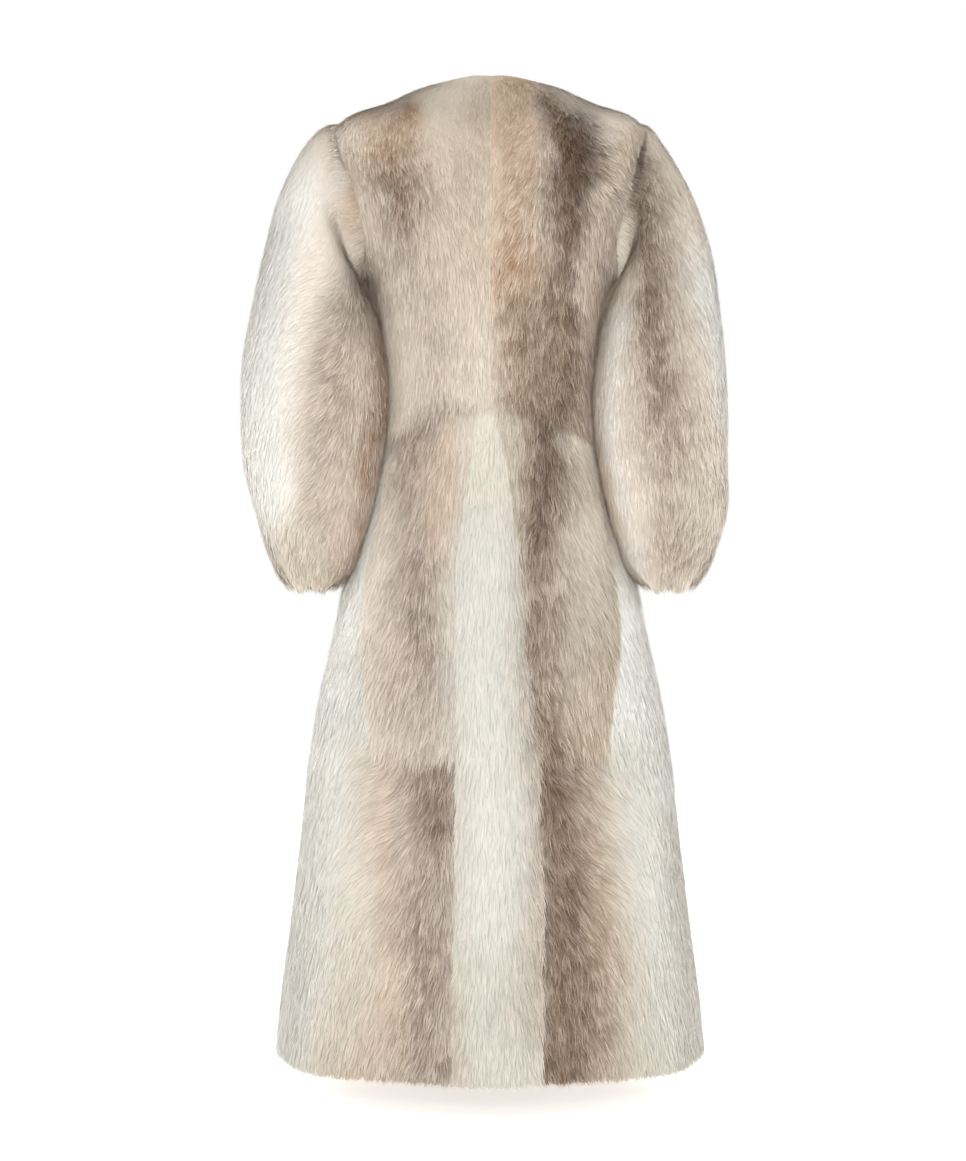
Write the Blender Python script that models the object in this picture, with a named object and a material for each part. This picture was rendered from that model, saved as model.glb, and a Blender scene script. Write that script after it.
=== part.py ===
# Long-haired shearling coat, hollow and filled out as when it is worn: a collarless round neck, balloon
# sleeves gathered at the cuff, a fitted waist and a flared midi skirt with a raised gore at the centre back.
# Every cut piece is one closed wall, as thick as its hide and its pile together.
# Metres, +Z up. The front faces -Y, the wearer's left is +X, and the origin is in the middle of the neck.

import bmesh
import bpy
import numpy as np

# Walls and seams
HIDE = 0.0015
PILE = 0.016
WALL = HIDE + PILE
SEAM_GAP = 0.0003
SHARPEST_MITRE = 0.4

# The two sides: the sign of X, the word for it, and the column of the sleeve's table that it takes
SIDES = ((1, "left", "left_x"), (-1, "right", "right_x"))

# Levels that the seams keep, and how they bend
WAIST_CENTRE_Z = -0.345
WAIST_DROP_TO_SIDE = 0.043
TIER_Z = -0.752
HEM_Z = -1.130

# The armhole is an oval round the side line, fuller towards the armpit: its angles are measured round the
# body and its depth down the side
SIDE_ANGLE = 90.0
ARMHOLE_BACK_ANGLE = 31.0
ARMHOLE_FRONT_ANGLE = 37.0
ARMHOLE_FULLER_BELOW = 0.2
SHOULDER_LENGTH = 0.112
ARMHOLE_DEPTH = 0.197
FRONT_SEAM_ANGLE = 118.0

# Pile that rolls over an open edge, stands over the seam below it, or is pressed down under one
NECK_ROLL = {"reach": 0.022, "depth": 0.009}
HEM_ROLL = {"reach": 0.022, "depth": 0.012}
FRONT_ROLL = {"reach": 0.012, "depth": 0.008}
TIER_LIP = {"rise": 0.006, "reach": 0.045, "height": 0.004}
TIER_TUCK = {"reach": 0.036, "depth": 0.003}
BACK_SEAM_DIP = {"reach": 0.022, "depth": 0.0025}

# The gore stands out as a soft ridge that begins below the waist, and the skirt hangs in shallow flutes
GORE_RIDGE = {"height": 0.009, "starts_z": -0.36, "full_z": -0.62, "edge_share": 0.25}
FLUTES = {"count": 7, "share": 0.022, "starts_z": -0.48, "full_z": HEM_Z}

# Gathers round each cuff
CUFF_WALL = 0.009
GATHERS = {"count": 6, "height": 0.0035, "reach": 0.105}

# Rings round the body, from the neck to the hem
BODY_COLUMNS = ("back_z", "side_z", "front_z", "half_width", "back_depth", "front_depth", "squareness")
BODY_RINGS = {
    "neck edge":       (0.049, 0.043, -0.040, 0.074, 0.068, 0.090, 2.0),
    "shoulder middle": (0.017, 0.017, -0.052, 0.128, 0.086, 0.103, 2.4),
    "shoulder tip":    (-0.018, -0.004, -0.070, 0.178, 0.105, 0.115, 3.1),
    "shoulder blade":  (-0.085, -0.085, -0.105, 0.173, 0.119, 0.128, 3.0),
    "chest":           (-0.158, -0.158, -0.158, 0.1605, 0.124, 0.132, 2.5),
    "ribs":            (-0.254, -0.254, -0.254, 0.1435, 0.116, 0.120, 2.15),
    "waist":           (-0.338, -0.338, -0.338, 0.1355, 0.106, 0.108, 2.0),
    "high hip":        (-0.434, -0.434, -0.434, 0.1455, 0.118, 0.116, 2.0),
    "hip":             (-0.524, -0.524, -0.524, 0.166, 0.136, 0.130, 2.0),
    "seat":            (-0.600, -0.600, -0.600, 0.185, 0.151, 0.143, 2.0),
    "thigh":           (-0.679, -0.679, -0.679, 0.204, 0.164, 0.156, 2.0),
    "tier":            (-0.775, -0.775, -0.775, 0.220, 0.177, 0.170, 2.0),
    "knee":            (-0.871, -0.871, -0.871, 0.230, 0.187, 0.181, 2.0),
    "calf":            (-0.967, -0.967, -0.967, 0.241, 0.195, 0.190, 2.0),
    "low calf":        (-1.063, -1.063, -1.063, 0.253, 0.201, 0.198, 2.0),
    "hem":             (HEM_Z, HEM_Z, HEM_Z, 0.259, 0.204, 0.203, 2.0),
}

# Rings round a sleeve, from just past the armhole to the cuff's turned-in edge: the outer line's places on
# the left and the right sleeve, the inner line's place, and the ring's middle, half depth and lean in Y
SLEEVE_COLUMNS = ("left_x", "right_x", "outer_z", "inner_x", "inner_z", "middle_y", "half_depth", "lean")
SLEEVE_RINGS = {
    "cap":          (0.199, 0.191, -0.006, 0.156, -0.210, 0.000, 0.078, 0.002),
    "cap end":      (0.223, 0.210, -0.030, 0.154, -0.222, 0.008, 0.083, 0.007),
    "upper arm":    (0.249, 0.238, -0.082, 0.149, -0.237, 0.021, 0.087, 0.019),
    "biceps":       (0.268, 0.262, -0.155, 0.142, -0.259, 0.035, 0.089, 0.021),
    "above elbow":  (0.283, 0.273, -0.227, 0.136, -0.294, 0.046, 0.089, 0.020),
    "elbow":        (0.295, 0.280, -0.294, 0.132, -0.334, 0.051, 0.087, 0.017),
    "below elbow":  (0.297, 0.283, -0.358, 0.133, -0.376, 0.052, 0.084, 0.015),
    "forearm":      (0.294, 0.283, -0.417, 0.139, -0.424, 0.049, 0.079, 0.012),
    "low forearm":  (0.283, 0.284, -0.464, 0.149, -0.471, 0.044, 0.072, 0.010),
    "above cuff":   (0.269, 0.272, -0.511, 0.162, -0.515, 0.039, 0.062, 0.008),
    "cuff":         (0.248, 0.251, -0.553, 0.176, -0.553, 0.035, 0.049, 0.004),
    "cuff edge":    (0.236, 0.238, -0.566, 0.186, -0.566, 0.035, 0.039, 0.002),
}

# Where the gore's two edges lie across the back, and how far round the body the side panel's back seam lies
GORE_EDGES = {
    # height: (left, right)
    -0.345: (0.0165, 0.0060),
    -0.403: (0.0232, 0.0174),
    -0.519: (0.0376, 0.0327),
    -0.623: (0.0392, 0.0400),
    -0.759: (0.0380, 0.0550),
    -0.861: (0.0388, 0.0578),
    -1.029: (0.0415, 0.0600),
    HEM_Z: (0.0433, 0.0575),
}
BACK_SEAM_ANGLES = {
    # height: degrees from the centre back
    -0.345: 62.0,
    -0.470: 61.0,
    -0.580: 56.5,
    -0.690: 43.5,
    -0.754: 38.5,
    -0.830: 41.0,
    HEM_Z: 45.0,
}

# Steps by which a surface's direction is measured, in degrees and metres
STEP_ROUND = 0.45
STEP_ALONG = 0.0015

# How finely each piece is divided
NECK_ROWS = (0.0, 0.004, 0.012, 0.024, 0.050, 0.076, 0.098)
ARMHOLE_CELLS = 12
BODICE_ROWS = (0.16, 0.36, 0.58, 0.78, 0.90, 0.97, 1.0)
MIDDLE_ROWS = (0.0, 0.02, 0.09, 0.23, 0.38, 0.53, 0.68, 0.80, 0.90, 0.985, 1.0)
LOWER_ROWS = (0.02, 0.09, 0.24, 0.40, 0.56, 0.72, 0.86, 0.942, 0.970, 0.990, 1.0)
GORE_CELLS = 4
BACK_CELLS = 6
SIDE_CELLS = 8
FRONT_COLUMNS = (0.0, 0.17, 0.34, 0.51, 0.67, 0.81, 0.92, 0.98, 1.0)
SLEEVE_CELLS_PER_RING = (1, 1, 1, 2, 2, 2, 2, 2, 1, 1, 1, 1)

COLOURS = {
    "ivory pile": (0.80, 0.73, 0.60),
    "cream pile": (0.74, 0.64, 0.52),
    "fawn pile": (0.56, 0.43, 0.33),
    "taupe pile": (0.36, 0.28, 0.23),
}


def spline(knots, rows, at):
    """Reads the smooth curve that passes through one row of values at each knot."""
    slopes = np.gradient(rows, knots, axis=0)
    first = np.clip(np.searchsorted(knots, at, side="right") - 1, 0, len(knots) - 2)
    span = knots[first + 1] - knots[first]
    part = (at - knots[first]) / span
    spare = (1,) * (rows.ndim - 1)
    part, span = part.reshape(part.shape + spare), span.reshape(span.shape + spare)
    near, far = rows[first], rows[first + 1]
    near_slope, far_slope = slopes[first] * span, slopes[first + 1] * span
    turn = near_slope + far_slope - 2 * (far - near)
    return near + part * (near_slope + part * ((far - near) - near_slope + turn * (part - 1)))


def length_along(points):
    """The distance of each point from the first one, along them."""
    return np.concatenate([[0.0], np.cumsum(np.linalg.norm(np.diff(points, axis=0), axis=1))])


def ease(value):
    """Rises from 0 to 1 without a corner as the value does."""
    value = np.clip(value, 0, 1)
    return value * value * (3 - 2 * value)


BODY = np.array(list(BODY_RINGS.values()))
BODY_SIDE_Z = BODY[:, BODY_COLUMNS.index("side_z")]
BODY_DOWN = length_along(BODY[:, [BODY_COLUMNS.index("half_width"), BODY_COLUMNS.index("side_z")]])


def height_of(down):
    """The height of the side line, where down is the distance from the neck along it."""
    return spline(BODY_DOWN, BODY_SIDE_Z, np.asarray(down, float))


FINE_DOWN = np.linspace(0, BODY_DOWN[-1], 4000)
FINE_HEIGHT = height_of(FINE_DOWN)


def down_to(height):
    """The distance down the side line to a height, below the shoulder."""
    return np.interp(-np.asarray(height, float), -FINE_HEIGHT, FINE_DOWN)


def body(angle, down):
    """A point of the coat's outer surface. The angle runs round the body from the centre back to the left."""
    back_z, side_z, front_z, half_width, back_depth, front_depth, squareness = np.moveaxis(
        spline(BODY_DOWN, BODY, down), -1, 0)
    sine, cosine = np.sin(np.radians(angle)), np.cos(np.radians(angle))
    at_back = cosine > 0
    boxy = (np.abs(sine) ** squareness + np.abs(cosine) ** squareness) ** (-1 / squareness)
    flare = ease((side_z - FLUTES["starts_z"]) / (FLUTES["full_z"] - FLUTES["starts_z"]))
    swell = boxy * (1 + FLUTES["share"] * flare * np.cos(FLUTES["count"] * np.radians(angle)))
    x = half_width * sine * swell
    y = np.where(at_back, back_depth, front_depth) * cosine * swell
    z = side_z + (np.where(at_back, back_z, front_z) - side_z) * cosine ** 2
    return np.stack([x, y, z], axis=-1)


def unit(vectors):
    return vectors / np.linalg.norm(vectors, axis=-1, keepdims=True)


def body_normal(angle, down):
    """The direction straight out of the body's surface."""
    round_it = body(angle + STEP_ROUND, down) - body(angle - STEP_ROUND, down)
    down_it = body(angle, down + STEP_ALONG) - body(angle, down - STEP_ALONG)
    return unit(np.cross(round_it, down_it))


ARMHOLE_MIDDLE = SHOULDER_LENGTH + ARMHOLE_DEPTH / 2


def armhole(turn):
    """The armhole's oval, as an angle round the body and a distance down. The turn starts at the shoulder
    tip and goes down the back."""
    sine, cosine = np.sin(np.radians(turn)), np.cos(np.radians(turn))
    width = np.where(sine > 0, ARMHOLE_BACK_ANGLE, ARMHOLE_FRONT_ANGLE)
    fullness = 1 - ARMHOLE_FULLER_BELOW * cosine
    return SIDE_ANGLE - width * sine * fullness, ARMHOLE_MIDDLE - ARMHOLE_DEPTH / 2 * cosine


def waist_down(angle):
    """The waist seam, which drops from the centre to the sides."""
    return down_to(WAIST_CENTRE_Z - WAIST_DROP_TO_SIDE * np.abs(np.sin(np.radians(angle))) ** 1.5)


def tier_down(angle):
    return down_to(np.full_like(angle, TIER_Z))


def hem_down(angle):
    return np.full_like(angle, BODY_DOWN[-1])


def gore_edge(side):
    """The angle of the gore's edge on the left (1) or the right (-1), at a distance down."""
    heights = -np.array(list(GORE_EDGES))
    places = np.array([row[0 if side > 0 else 1] for row in GORE_EDGES.values()])

    def edge(down):
        half_width = spline(BODY_DOWN, BODY[:, BODY_COLUMNS.index("half_width")], down)
        across = spline(heights, places, -height_of(down))
        return side * np.degrees(np.arcsin(across / half_width))

    return edge


def back_seam(side):
    """The seam between the back and the side panel."""
    heights = -np.array(list(BACK_SEAM_ANGLES))
    angles = np.array(list(BACK_SEAM_ANGLES.values()))
    return lambda down: side * spline(heights, angles, -height_of(down))


def straight_seam(side, angle):
    """A seam that keeps its angle all the way down."""
    return lambda down: side * np.full_like(down, angle)


def roll(distance, reach, depth):
    """Pile that rounds off towards an open edge."""
    short = np.clip(1 - distance / reach, 0, 1)
    return -depth * (1 - np.sqrt(1 - short ** 2))


def lip(distance, rise, reach, height):
    """Pile that stands over the seam below it."""
    return height * np.clip(distance / rise, 0, 1) * ease(1 - distance / reach)


def tuck(distance, reach, depth):
    """Pile that is pressed down at a seam."""
    return -depth * ease(1 - distance / reach)


def edge_loop(rows, columns):
    """The grid places round a piece's edge, in order."""
    top = [(0, c) for c in range(columns)]
    right = [(r, columns - 1) for r in range(1, rows)]
    bottom = [(rows - 1, c) for c in range(columns - 2, -1, -1)]
    left = [(r, 0) for r in range(rows - 2, 0, -1)]
    return top + right + bottom + left


def draw_in(outer, inner):
    """Draws a piece's edges in by half a seam gap, square to the edge and along the wall."""
    rows, columns = outer.shape[:2]
    middle_row, middle_column = rows // 2, columns // 2
    across = outer[middle_row, middle_column] - outer[middle_row, middle_column - 1]
    along = outer[middle_row, middle_column] - outer[middle_row - 1, middle_column]
    out = outer[middle_row, middle_column] - inner[middle_row, middle_column]
    handed = np.sign(np.dot(np.cross(across, along), out))
    loop = edge_loop(rows, columns)
    at = tuple(np.array(loop).T)
    points, walls = outer[at], unit(outer[at] - inner[at])
    forward = np.roll(points, -1, axis=0) - points
    after = unit(handed * np.cross(walls + np.roll(walls, -1, axis=0), forward))
    before = np.roll(after, 1, axis=0)
    together = 1 + np.sum(before * after, axis=1, keepdims=True)
    move = SEAM_GAP / 2 * (before + after) / np.maximum(together, SHARPEST_MITRE)
    outer[at] += move
    inner[at] += move


def wall_piece(name, outer, inner, colour, flipped=()):
    """Closes two grids of points, the outer and the inner side of a wall, into one solid. Each strip along
    an edge is split the same way as its neighbour's, and flipped lists the top cells split the other way."""
    draw_in(outer, inner)
    rows, columns = outer.shape[:2]
    number = np.arange(rows * columns).reshape(rows, columns)
    behind = rows * columns
    faces = []
    for r in range(rows - 1):
        for c in range(columns - 1):
            corners = [number[r, c], number[r, c + 1], number[r + 1, c + 1], number[r + 1, c]]
            faces.append(corners)
            faces.append([k + behind for k in reversed(corners)])
    strips = [(number[0, c], number[0, c + 1], c in flipped) for c in range(columns - 1)]
    strips += [(number[-1, c], number[-1, c + 1], False) for c in range(columns - 1)]
    for c in (0, columns - 1):
        strips += [(number[r, c], number[r + 1, c], False) for r in range(rows - 1)]
    for here, there, other_way in strips:
        if other_way:
            faces += [[here, there, here + behind], [there, there + behind, here + behind]]
        else:
            faces += [[here, there, there + behind], [here, there + behind, here + behind]]
    mesh = bpy.data.meshes.new(name)
    points = np.concatenate([outer.reshape(-1, 3), inner.reshape(-1, 3)])
    mesh.from_pydata(points.tolist(), [], [[int(k) for k in face] for face in faces])
    shape = bmesh.new()
    shape.from_mesh(mesh)
    bmesh.ops.recalc_face_normals(shape, faces=shape.faces[:])
    shape.to_mesh(mesh)
    shape.free()
    mesh.shade_smooth()
    mesh.set_sharp_from_angle(angle=np.radians(50))
    mesh.materials.append(colour)
    piece = bpy.data.objects.new(name, mesh)
    bpy.context.scene.collection.objects.link(piece)


def body_wall(angle, down, relief):
    """The outer and inner points of a wall on the body, with the pile's relief on the outside."""
    surface, normal = body(angle, down), body_normal(angle, down)
    return surface + relief[..., None] * normal, surface - WALL * normal


def skirt_grid(first_seam, second_seam, columns, levels):
    """Angles and distances down where a panel's columns, between two seams, cross its levels."""
    angle = np.zeros((len(levels), len(columns)))
    for _ in range(12):
        down = np.stack([level(row) for level, row in zip(levels, angle)])
        first, second = first_seam(down), second_seam(down)
        angle = first + (second - first) * np.asarray(columns)
    return angle, down


def between(upper, lower, part):
    """A level at part of the way from one line round the body to another."""
    return lambda angle: upper(angle) + (lower(angle) - upper(angle)) * part


MIDDLE_LEVELS = [between(waist_down, tier_down, part) for part in MIDDLE_ROWS]
LOWER_LEVELS = [MIDDLE_LEVELS[-1]] + [between(tier_down, hem_down, part) for part in LOWER_ROWS]
SKIRT_LEVELS = MIDDLE_LEVELS + LOWER_LEVELS[1:]


def even(cells):
    return tuple(np.linspace(0, 1, cells + 1))


def skirt_relief(angle, down):
    """The pile's relief that every skirt panel has: pressed down under the waist, round at the hem."""
    return tuck(down - waist_down(angle), **TIER_TUCK) + roll(hem_down(angle) - down, **HEM_ROLL)


def front_edge_relief(angle, down, relief):
    """The relief of a front panel, whose pile also rolls over the opening's edge."""
    from_opening = np.abs(body(angle, down)[..., 0])
    return np.minimum(relief, roll(from_opening, **FRONT_ROLL))


def make_skirt(colours):
    """The gore, and on each side the middle and lower back, the side panel and the front skirt."""
    angle, down = skirt_grid(gore_edge(-1), gore_edge(1), even(GORE_CELLS), SKIRT_LEVELS)
    across = np.linspace(-1, 1, GORE_CELLS + 1)
    start, full = GORE_RIDGE["starts_z"], GORE_RIDGE["full_z"]
    ridge = GORE_RIDGE["height"] * ease((height_of(down) - start) / (full - start))
    crown = 1 - (1 - GORE_RIDGE["edge_share"]) * across ** 2
    relief = skirt_relief(angle, down) + ridge * crown
    wall_piece("back_centre_gore", *body_wall(angle, down, relief), colours["ivory pile"],
               flipped=range(GORE_CELLS // 2))

    for side, word, _ in SIDES:
        back = (gore_edge(side), back_seam(side), even(BACK_CELLS))
        angle, down = skirt_grid(*back, MIDDLE_LEVELS)
        relief = tuck(down - waist_down(angle), **TIER_TUCK) + lip(tier_down(angle) - down, **TIER_LIP)
        wall_piece("back_middle_" + word, *body_wall(angle, down, relief), colours["taupe pile"])

        angle, down = skirt_grid(*back, LOWER_LEVELS)
        relief = tuck(down - tier_down(angle), **TIER_TUCK) + roll(hem_down(angle) - down, **HEM_ROLL)
        wall_piece("back_lower_" + word, *body_wall(angle, down, relief), colours["fawn pile"])

        front_seam = straight_seam(side, FRONT_SEAM_ANGLE)
        angle, down = skirt_grid(back_seam(side), front_seam, even(SIDE_CELLS), SKIRT_LEVELS)
        wall_piece("side_" + word, *body_wall(angle, down, skirt_relief(angle, down)), colours["ivory pile"])

        angle, down = skirt_grid(front_seam, straight_seam(side, 180.0), FRONT_COLUMNS, SKIRT_LEVELS)
        relief = front_edge_relief(angle, down, skirt_relief(angle, down))
        wall_piece("front_skirt_" + word, *body_wall(angle, down, relief), colours["cream pile"])


def sleeve_surface(turn, along, outer_x):
    """The left sleeve's outer surface: turns round the arm, from the top over the back, for each place along
    the arm. The first ring is the armhole itself."""
    rings = dict(zip(SLEEVE_COLUMNS, np.array(list(SLEEVE_RINGS.values())).T))
    cosine, sine = np.cos(np.radians(turn)), np.sin(np.radians(turn))
    outer = np.stack([rings[outer_x], 0 * rings["outer_z"], rings["outer_z"]], axis=1)[:, None]
    inner = np.stack([rings["inner_x"], 0 * rings["inner_z"], rings["inner_z"]], axis=1)[:, None]
    back = np.stack([-rings["lean"], rings["half_depth"], 0 * rings["lean"]], axis=1)[:, None]
    middle = (outer + inner) / 2
    middle[..., 1] += rings["middle_y"][:, None]
    points = middle + cosine[:, None] * (outer - inner) / 2 + sine[:, None] * back
    points = np.concatenate([body(*armhole(turn))[None], points])
    return spline(SLEEVE_KNOTS, points, along)


def sleeve_knots():
    """How far along the arm each ring lies, from the ways along the top and the underside."""
    table = np.array(list(SLEEVE_RINGS.values()))
    places = {name: table[:, SLEEVE_COLUMNS.index(name)] for name in SLEEVE_COLUMNS}
    tip, pit = body(*armhole(np.array([0.0, 180.0])))[:, [0, 2]]
    top = np.vstack([tip, np.stack([places["left_x"], places["outer_z"]], axis=1)])
    under = np.vstack([pit, np.stack([places["inner_x"], places["inner_z"]], axis=1)])
    return (length_along(top) + length_along(under)) / 2


SLEEVE_KNOTS = sleeve_knots()


def sleeve_normal(turn, along, outer_x):
    """The direction straight out of the left sleeve's surface."""
    nearer = np.maximum(along - STEP_ALONG, 0)
    further = np.minimum(along + STEP_ALONG, SLEEVE_KNOTS[-1])
    after = sleeve_surface(turn + STEP_ROUND, along, outer_x)
    before = sleeve_surface(turn - STEP_ROUND, along, outer_x)
    along_it = sleeve_surface(turn, further, outer_x) - sleeve_surface(turn, nearer, outer_x)
    return unit(np.cross(along_it, after - before))


def armhole_fold(turn, outer_x):
    """The way out of the crease where the body and the left sleeve meet, half way between their walls."""
    edge = body(*armhole(turn))
    way_round = unit(body(*armhole(turn + STEP_ROUND)) - body(*armhole(turn - STEP_ROUND)))
    out_of_body = body_normal(*armhole(turn))
    into_body = np.cross(out_of_body, way_round)
    out_of_sleeve = sleeve_normal(turn, np.array([0.0]), outer_x)[0]
    into_sleeve = np.cross(way_round, out_of_sleeve)
    return edge, unit(out_of_body + into_body + out_of_sleeve + into_sleeve)


def waist_columns(side):
    """Where the skirt's columns meet the waist seam on one side, from the centre back to the centre front."""
    waist = [waist_down]
    edge = skirt_grid(straight_seam(side, 0.0), gore_edge(side), even(GORE_CELLS // 2), waist)[0][0]
    if side > 0:
        gore = skirt_grid(gore_edge(-1), gore_edge(1), even(GORE_CELLS), waist)[0][0]
        edge = np.concatenate([[0.0], gore[gore > 0]])
    back = skirt_grid(gore_edge(side), back_seam(side), even(BACK_CELLS), waist)[0][0]
    front_seam = straight_seam(side, FRONT_SEAM_ANGLE)
    flank = skirt_grid(back_seam(side), front_seam, even(SIDE_CELLS), waist)[0][0]
    front = skirt_grid(front_seam, straight_seam(side, 180.0), FRONT_COLUMNS, waist)[0][0]
    return np.abs(np.concatenate([edge, back[1:], flank[1:], front[1:]]))


def make_bodice(colours):
    """On each side the upper back and the upper front, from the neck round the armhole to the waist."""
    turns = np.linspace(0, 180, ARMHOLE_CELLS + 1)
    back_line, oval_down = armhole(turns)
    front_line = armhole(-turns)[0]
    blank = np.full(len(NECK_ROWS), SIDE_ANGLE)
    below = np.full(len(BODICE_ROWS), SIDE_ANGLE)
    back_edge = np.concatenate([blank, back_line, below])[:, None]
    front_edge = np.concatenate([blank, front_line, below])[:, None]
    level_rows = np.concatenate([NECK_ROWS, oval_down])

    for side, word, outer_x in SIDES:
        columns = waist_columns(side)
        half = int(np.argmin(np.abs(columns - SIDE_ANGLE)))
        columns[half] = SIDE_ANGLE
        back_share = columns[:half + 1] / SIDE_ANGLE
        front_share = (columns[half:] - SIDE_ANGLE) / (180 - SIDE_ANGLE)
        back_angle = back_edge * back_share
        front_angle = front_edge + (180 - front_edge) * front_share
        for name, angle, edge_column, way, colour in (("back_upper_", back_angle, -1, 1, "fawn pile"),
                                                      ("front_upper_", front_angle, 0, -1, "cream pile")):
            edge, fold = armhole_fold(way * turns, outer_x)
            fold_inner = edge - WALL * fold
            down = np.empty_like(angle)
            down[:len(level_rows)] = level_rows[:, None]
            for k, part in enumerate(BODICE_ROWS):
                row = len(level_rows) + k
                down[row] = oval_down[-1] + (waist_down(angle[row]) - oval_down[-1]) * part
            relief = roll(down, **NECK_ROLL) + lip(waist_down(angle) - down, **TIER_LIP)
            if name == "back_upper_":
                relief = relief + tuck(np.abs(body(angle, down)[..., 0]), **BACK_SEAM_DIP)
            else:
                relief = front_edge_relief(angle, down, relief)
            outer, inner = body_wall(side * angle, down, relief)
            inner[len(NECK_ROWS):len(level_rows), edge_column] = fold_inner * (side, 1, 1)
            wall_piece(name + word, outer, inner, colours[colour])


def make_sleeves(colours):
    """On each side the top sleeve and the under sleeve, which meet along the front and the back of the arm."""
    along = [0.0]
    for near, far, cells in zip(SLEEVE_KNOTS[:-1], SLEEVE_KNOTS[1:], SLEEVE_CELLS_PER_RING):
        along += list(near + (far - near) * np.arange(1, cells + 1) / cells)
    along = np.array(along)
    to_cuff = SLEEVE_KNOTS[-1] - along
    gathered = ease(1 - to_cuff / GATHERS["reach"])
    thickness = WALL + (CUFF_WALL - WALL) * gathered
    for side, word, outer_x in SIDES:
        for name, first_turn, colour in (("sleeve_top_", -90.0, "cream pile"),
                                         ("sleeve_under_", 90.0, "taupe pile")):
            turn = first_turn + np.linspace(0, 180, ARMHOLE_CELLS + 1)
            surface = sleeve_surface(turn, along, outer_x)
            normal = sleeve_normal(turn, along, outer_x)
            normal[0] = armhole_fold(turn, outer_x)[1]
            wave = np.cos(GATHERS["count"] * np.radians(turn)) * gathered[:, None]
            outer = surface + GATHERS["height"] * wave[..., None] * normal
            inner = outer - thickness[:, None, None] * normal
            for points in (outer, inner):
                points[..., 0] *= side
            middles = (turn[:-1] + turn[1:]) / 2
            in_front = np.sin(np.radians(middles)) < 0
            wall_piece(name + word, outer, inner, colours[colour], flipped=set(np.flatnonzero(in_front)))


def make_colours():
    colours = {}
    for name, value in COLOURS.items():
        colour = bpy.data.materials.new(name)
        colour.use_nodes = True
        shader = colour.node_tree.nodes["Principled BSDF"]
        shader.inputs["Base Color"].default_value = (*value, 1)
        shader.inputs["Roughness"].default_value = 0.9
        shader.inputs["Metallic"].default_value = 0.0
        colours[name] = colour
    return colours


def main():
    for thing in list(bpy.data.objects):
        bpy.data.objects.remove(thing, do_unlink=True)
    colours = make_colours()
    make_bodice(colours)
    make_skirt(colours)
    make_sleeves(colours)


main()
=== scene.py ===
import math

import bmesh
import bpy
import numpy as np
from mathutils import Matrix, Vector


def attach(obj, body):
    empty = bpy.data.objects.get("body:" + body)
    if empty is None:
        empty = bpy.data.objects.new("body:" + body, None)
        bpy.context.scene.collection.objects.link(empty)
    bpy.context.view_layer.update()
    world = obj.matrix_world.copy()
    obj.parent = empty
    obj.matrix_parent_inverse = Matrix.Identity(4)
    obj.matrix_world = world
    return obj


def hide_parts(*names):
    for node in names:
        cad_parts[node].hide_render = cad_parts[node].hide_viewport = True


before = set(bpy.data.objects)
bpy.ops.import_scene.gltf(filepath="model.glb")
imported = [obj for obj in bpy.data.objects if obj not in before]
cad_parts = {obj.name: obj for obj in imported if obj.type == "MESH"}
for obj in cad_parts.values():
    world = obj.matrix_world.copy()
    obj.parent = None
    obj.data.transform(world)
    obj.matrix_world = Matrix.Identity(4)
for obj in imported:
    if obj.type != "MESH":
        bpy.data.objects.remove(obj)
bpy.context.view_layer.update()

# Long-haired shearling coat seen from behind: suede hides, and on each one its own coat of combed hair.
# Metres, +Z up, the front faces -Y. Hair is grown by Geometry Nodes on a bed made for each cut piece.

print("frame loaded:", len(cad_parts), "cut pieces")

# What the whole coat shares
wall = {"hide": 0.0015, "pile": 0.016, "bed": 0.0048, "cuff": 0.009, "gap": 0.00015, "cell": 0.0115}
wallThickness = wall["hide"] + wall["pile"]

# The body: one row for each ring, from the neck to the hem
waist = {"centreZ": -0.345, "dropToSide": 0.043, "power": 1.5}
tierZ = -0.752
hemZ = -1.130
bodyColumns = ("backZ", "sideZ", "frontZ", "halfWidth", "backDepth", "frontDepth", "squareness")
bodyRings = {
    "neck edge":       (0.049, 0.043, -0.040, 0.074, 0.068, 0.090, 2.0),
    "shoulder middle": (0.017, 0.017, -0.052, 0.128, 0.086, 0.103, 2.4),
    "shoulder tip":    (-0.018, -0.004, -0.070, 0.178, 0.105, 0.115, 3.1),
    "shoulder blade":  (-0.085, -0.085, -0.105, 0.173, 0.119, 0.128, 3.0),
    "chest":           (-0.158, -0.158, -0.158, 0.1605, 0.124, 0.132, 2.5),
    "ribs":            (-0.254, -0.254, -0.254, 0.1435, 0.116, 0.120, 2.15),
    "waist":           (-0.338, -0.338, -0.338, 0.1355, 0.106, 0.108, 2.0),
    "high hip":        (-0.434, -0.434, -0.434, 0.1455, 0.118, 0.116, 2.0),
    "hip":             (-0.524, -0.524, -0.524, 0.166, 0.136, 0.130, 2.0),
    "seat":            (-0.600, -0.600, -0.600, 0.185, 0.151, 0.143, 2.0),
    "thigh":           (-0.679, -0.679, -0.679, 0.204, 0.164, 0.156, 2.0),
    "tier":            (-0.775, -0.775, -0.775, 0.220, 0.177, 0.170, 2.0),
    "knee":            (-0.871, -0.871, -0.871, 0.230, 0.187, 0.181, 2.0),
    "calf":            (-0.967, -0.967, -0.967, 0.241, 0.195, 0.190, 2.0),
    "low calf":        (-1.063, -1.063, -1.063, 0.253, 0.201, 0.198, 2.0),
    "hem":             (hemZ, hemZ, hemZ, 0.259, 0.204, 0.203, 2.0),
}
flutes = {"count": 7, "share": 0.022, "startsZ": -0.48, "fullZ": hemZ}
goreRidge = {"height": 0.009, "startsZ": -0.36, "fullZ": -0.62, "edgeShare": 0.25}

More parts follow.
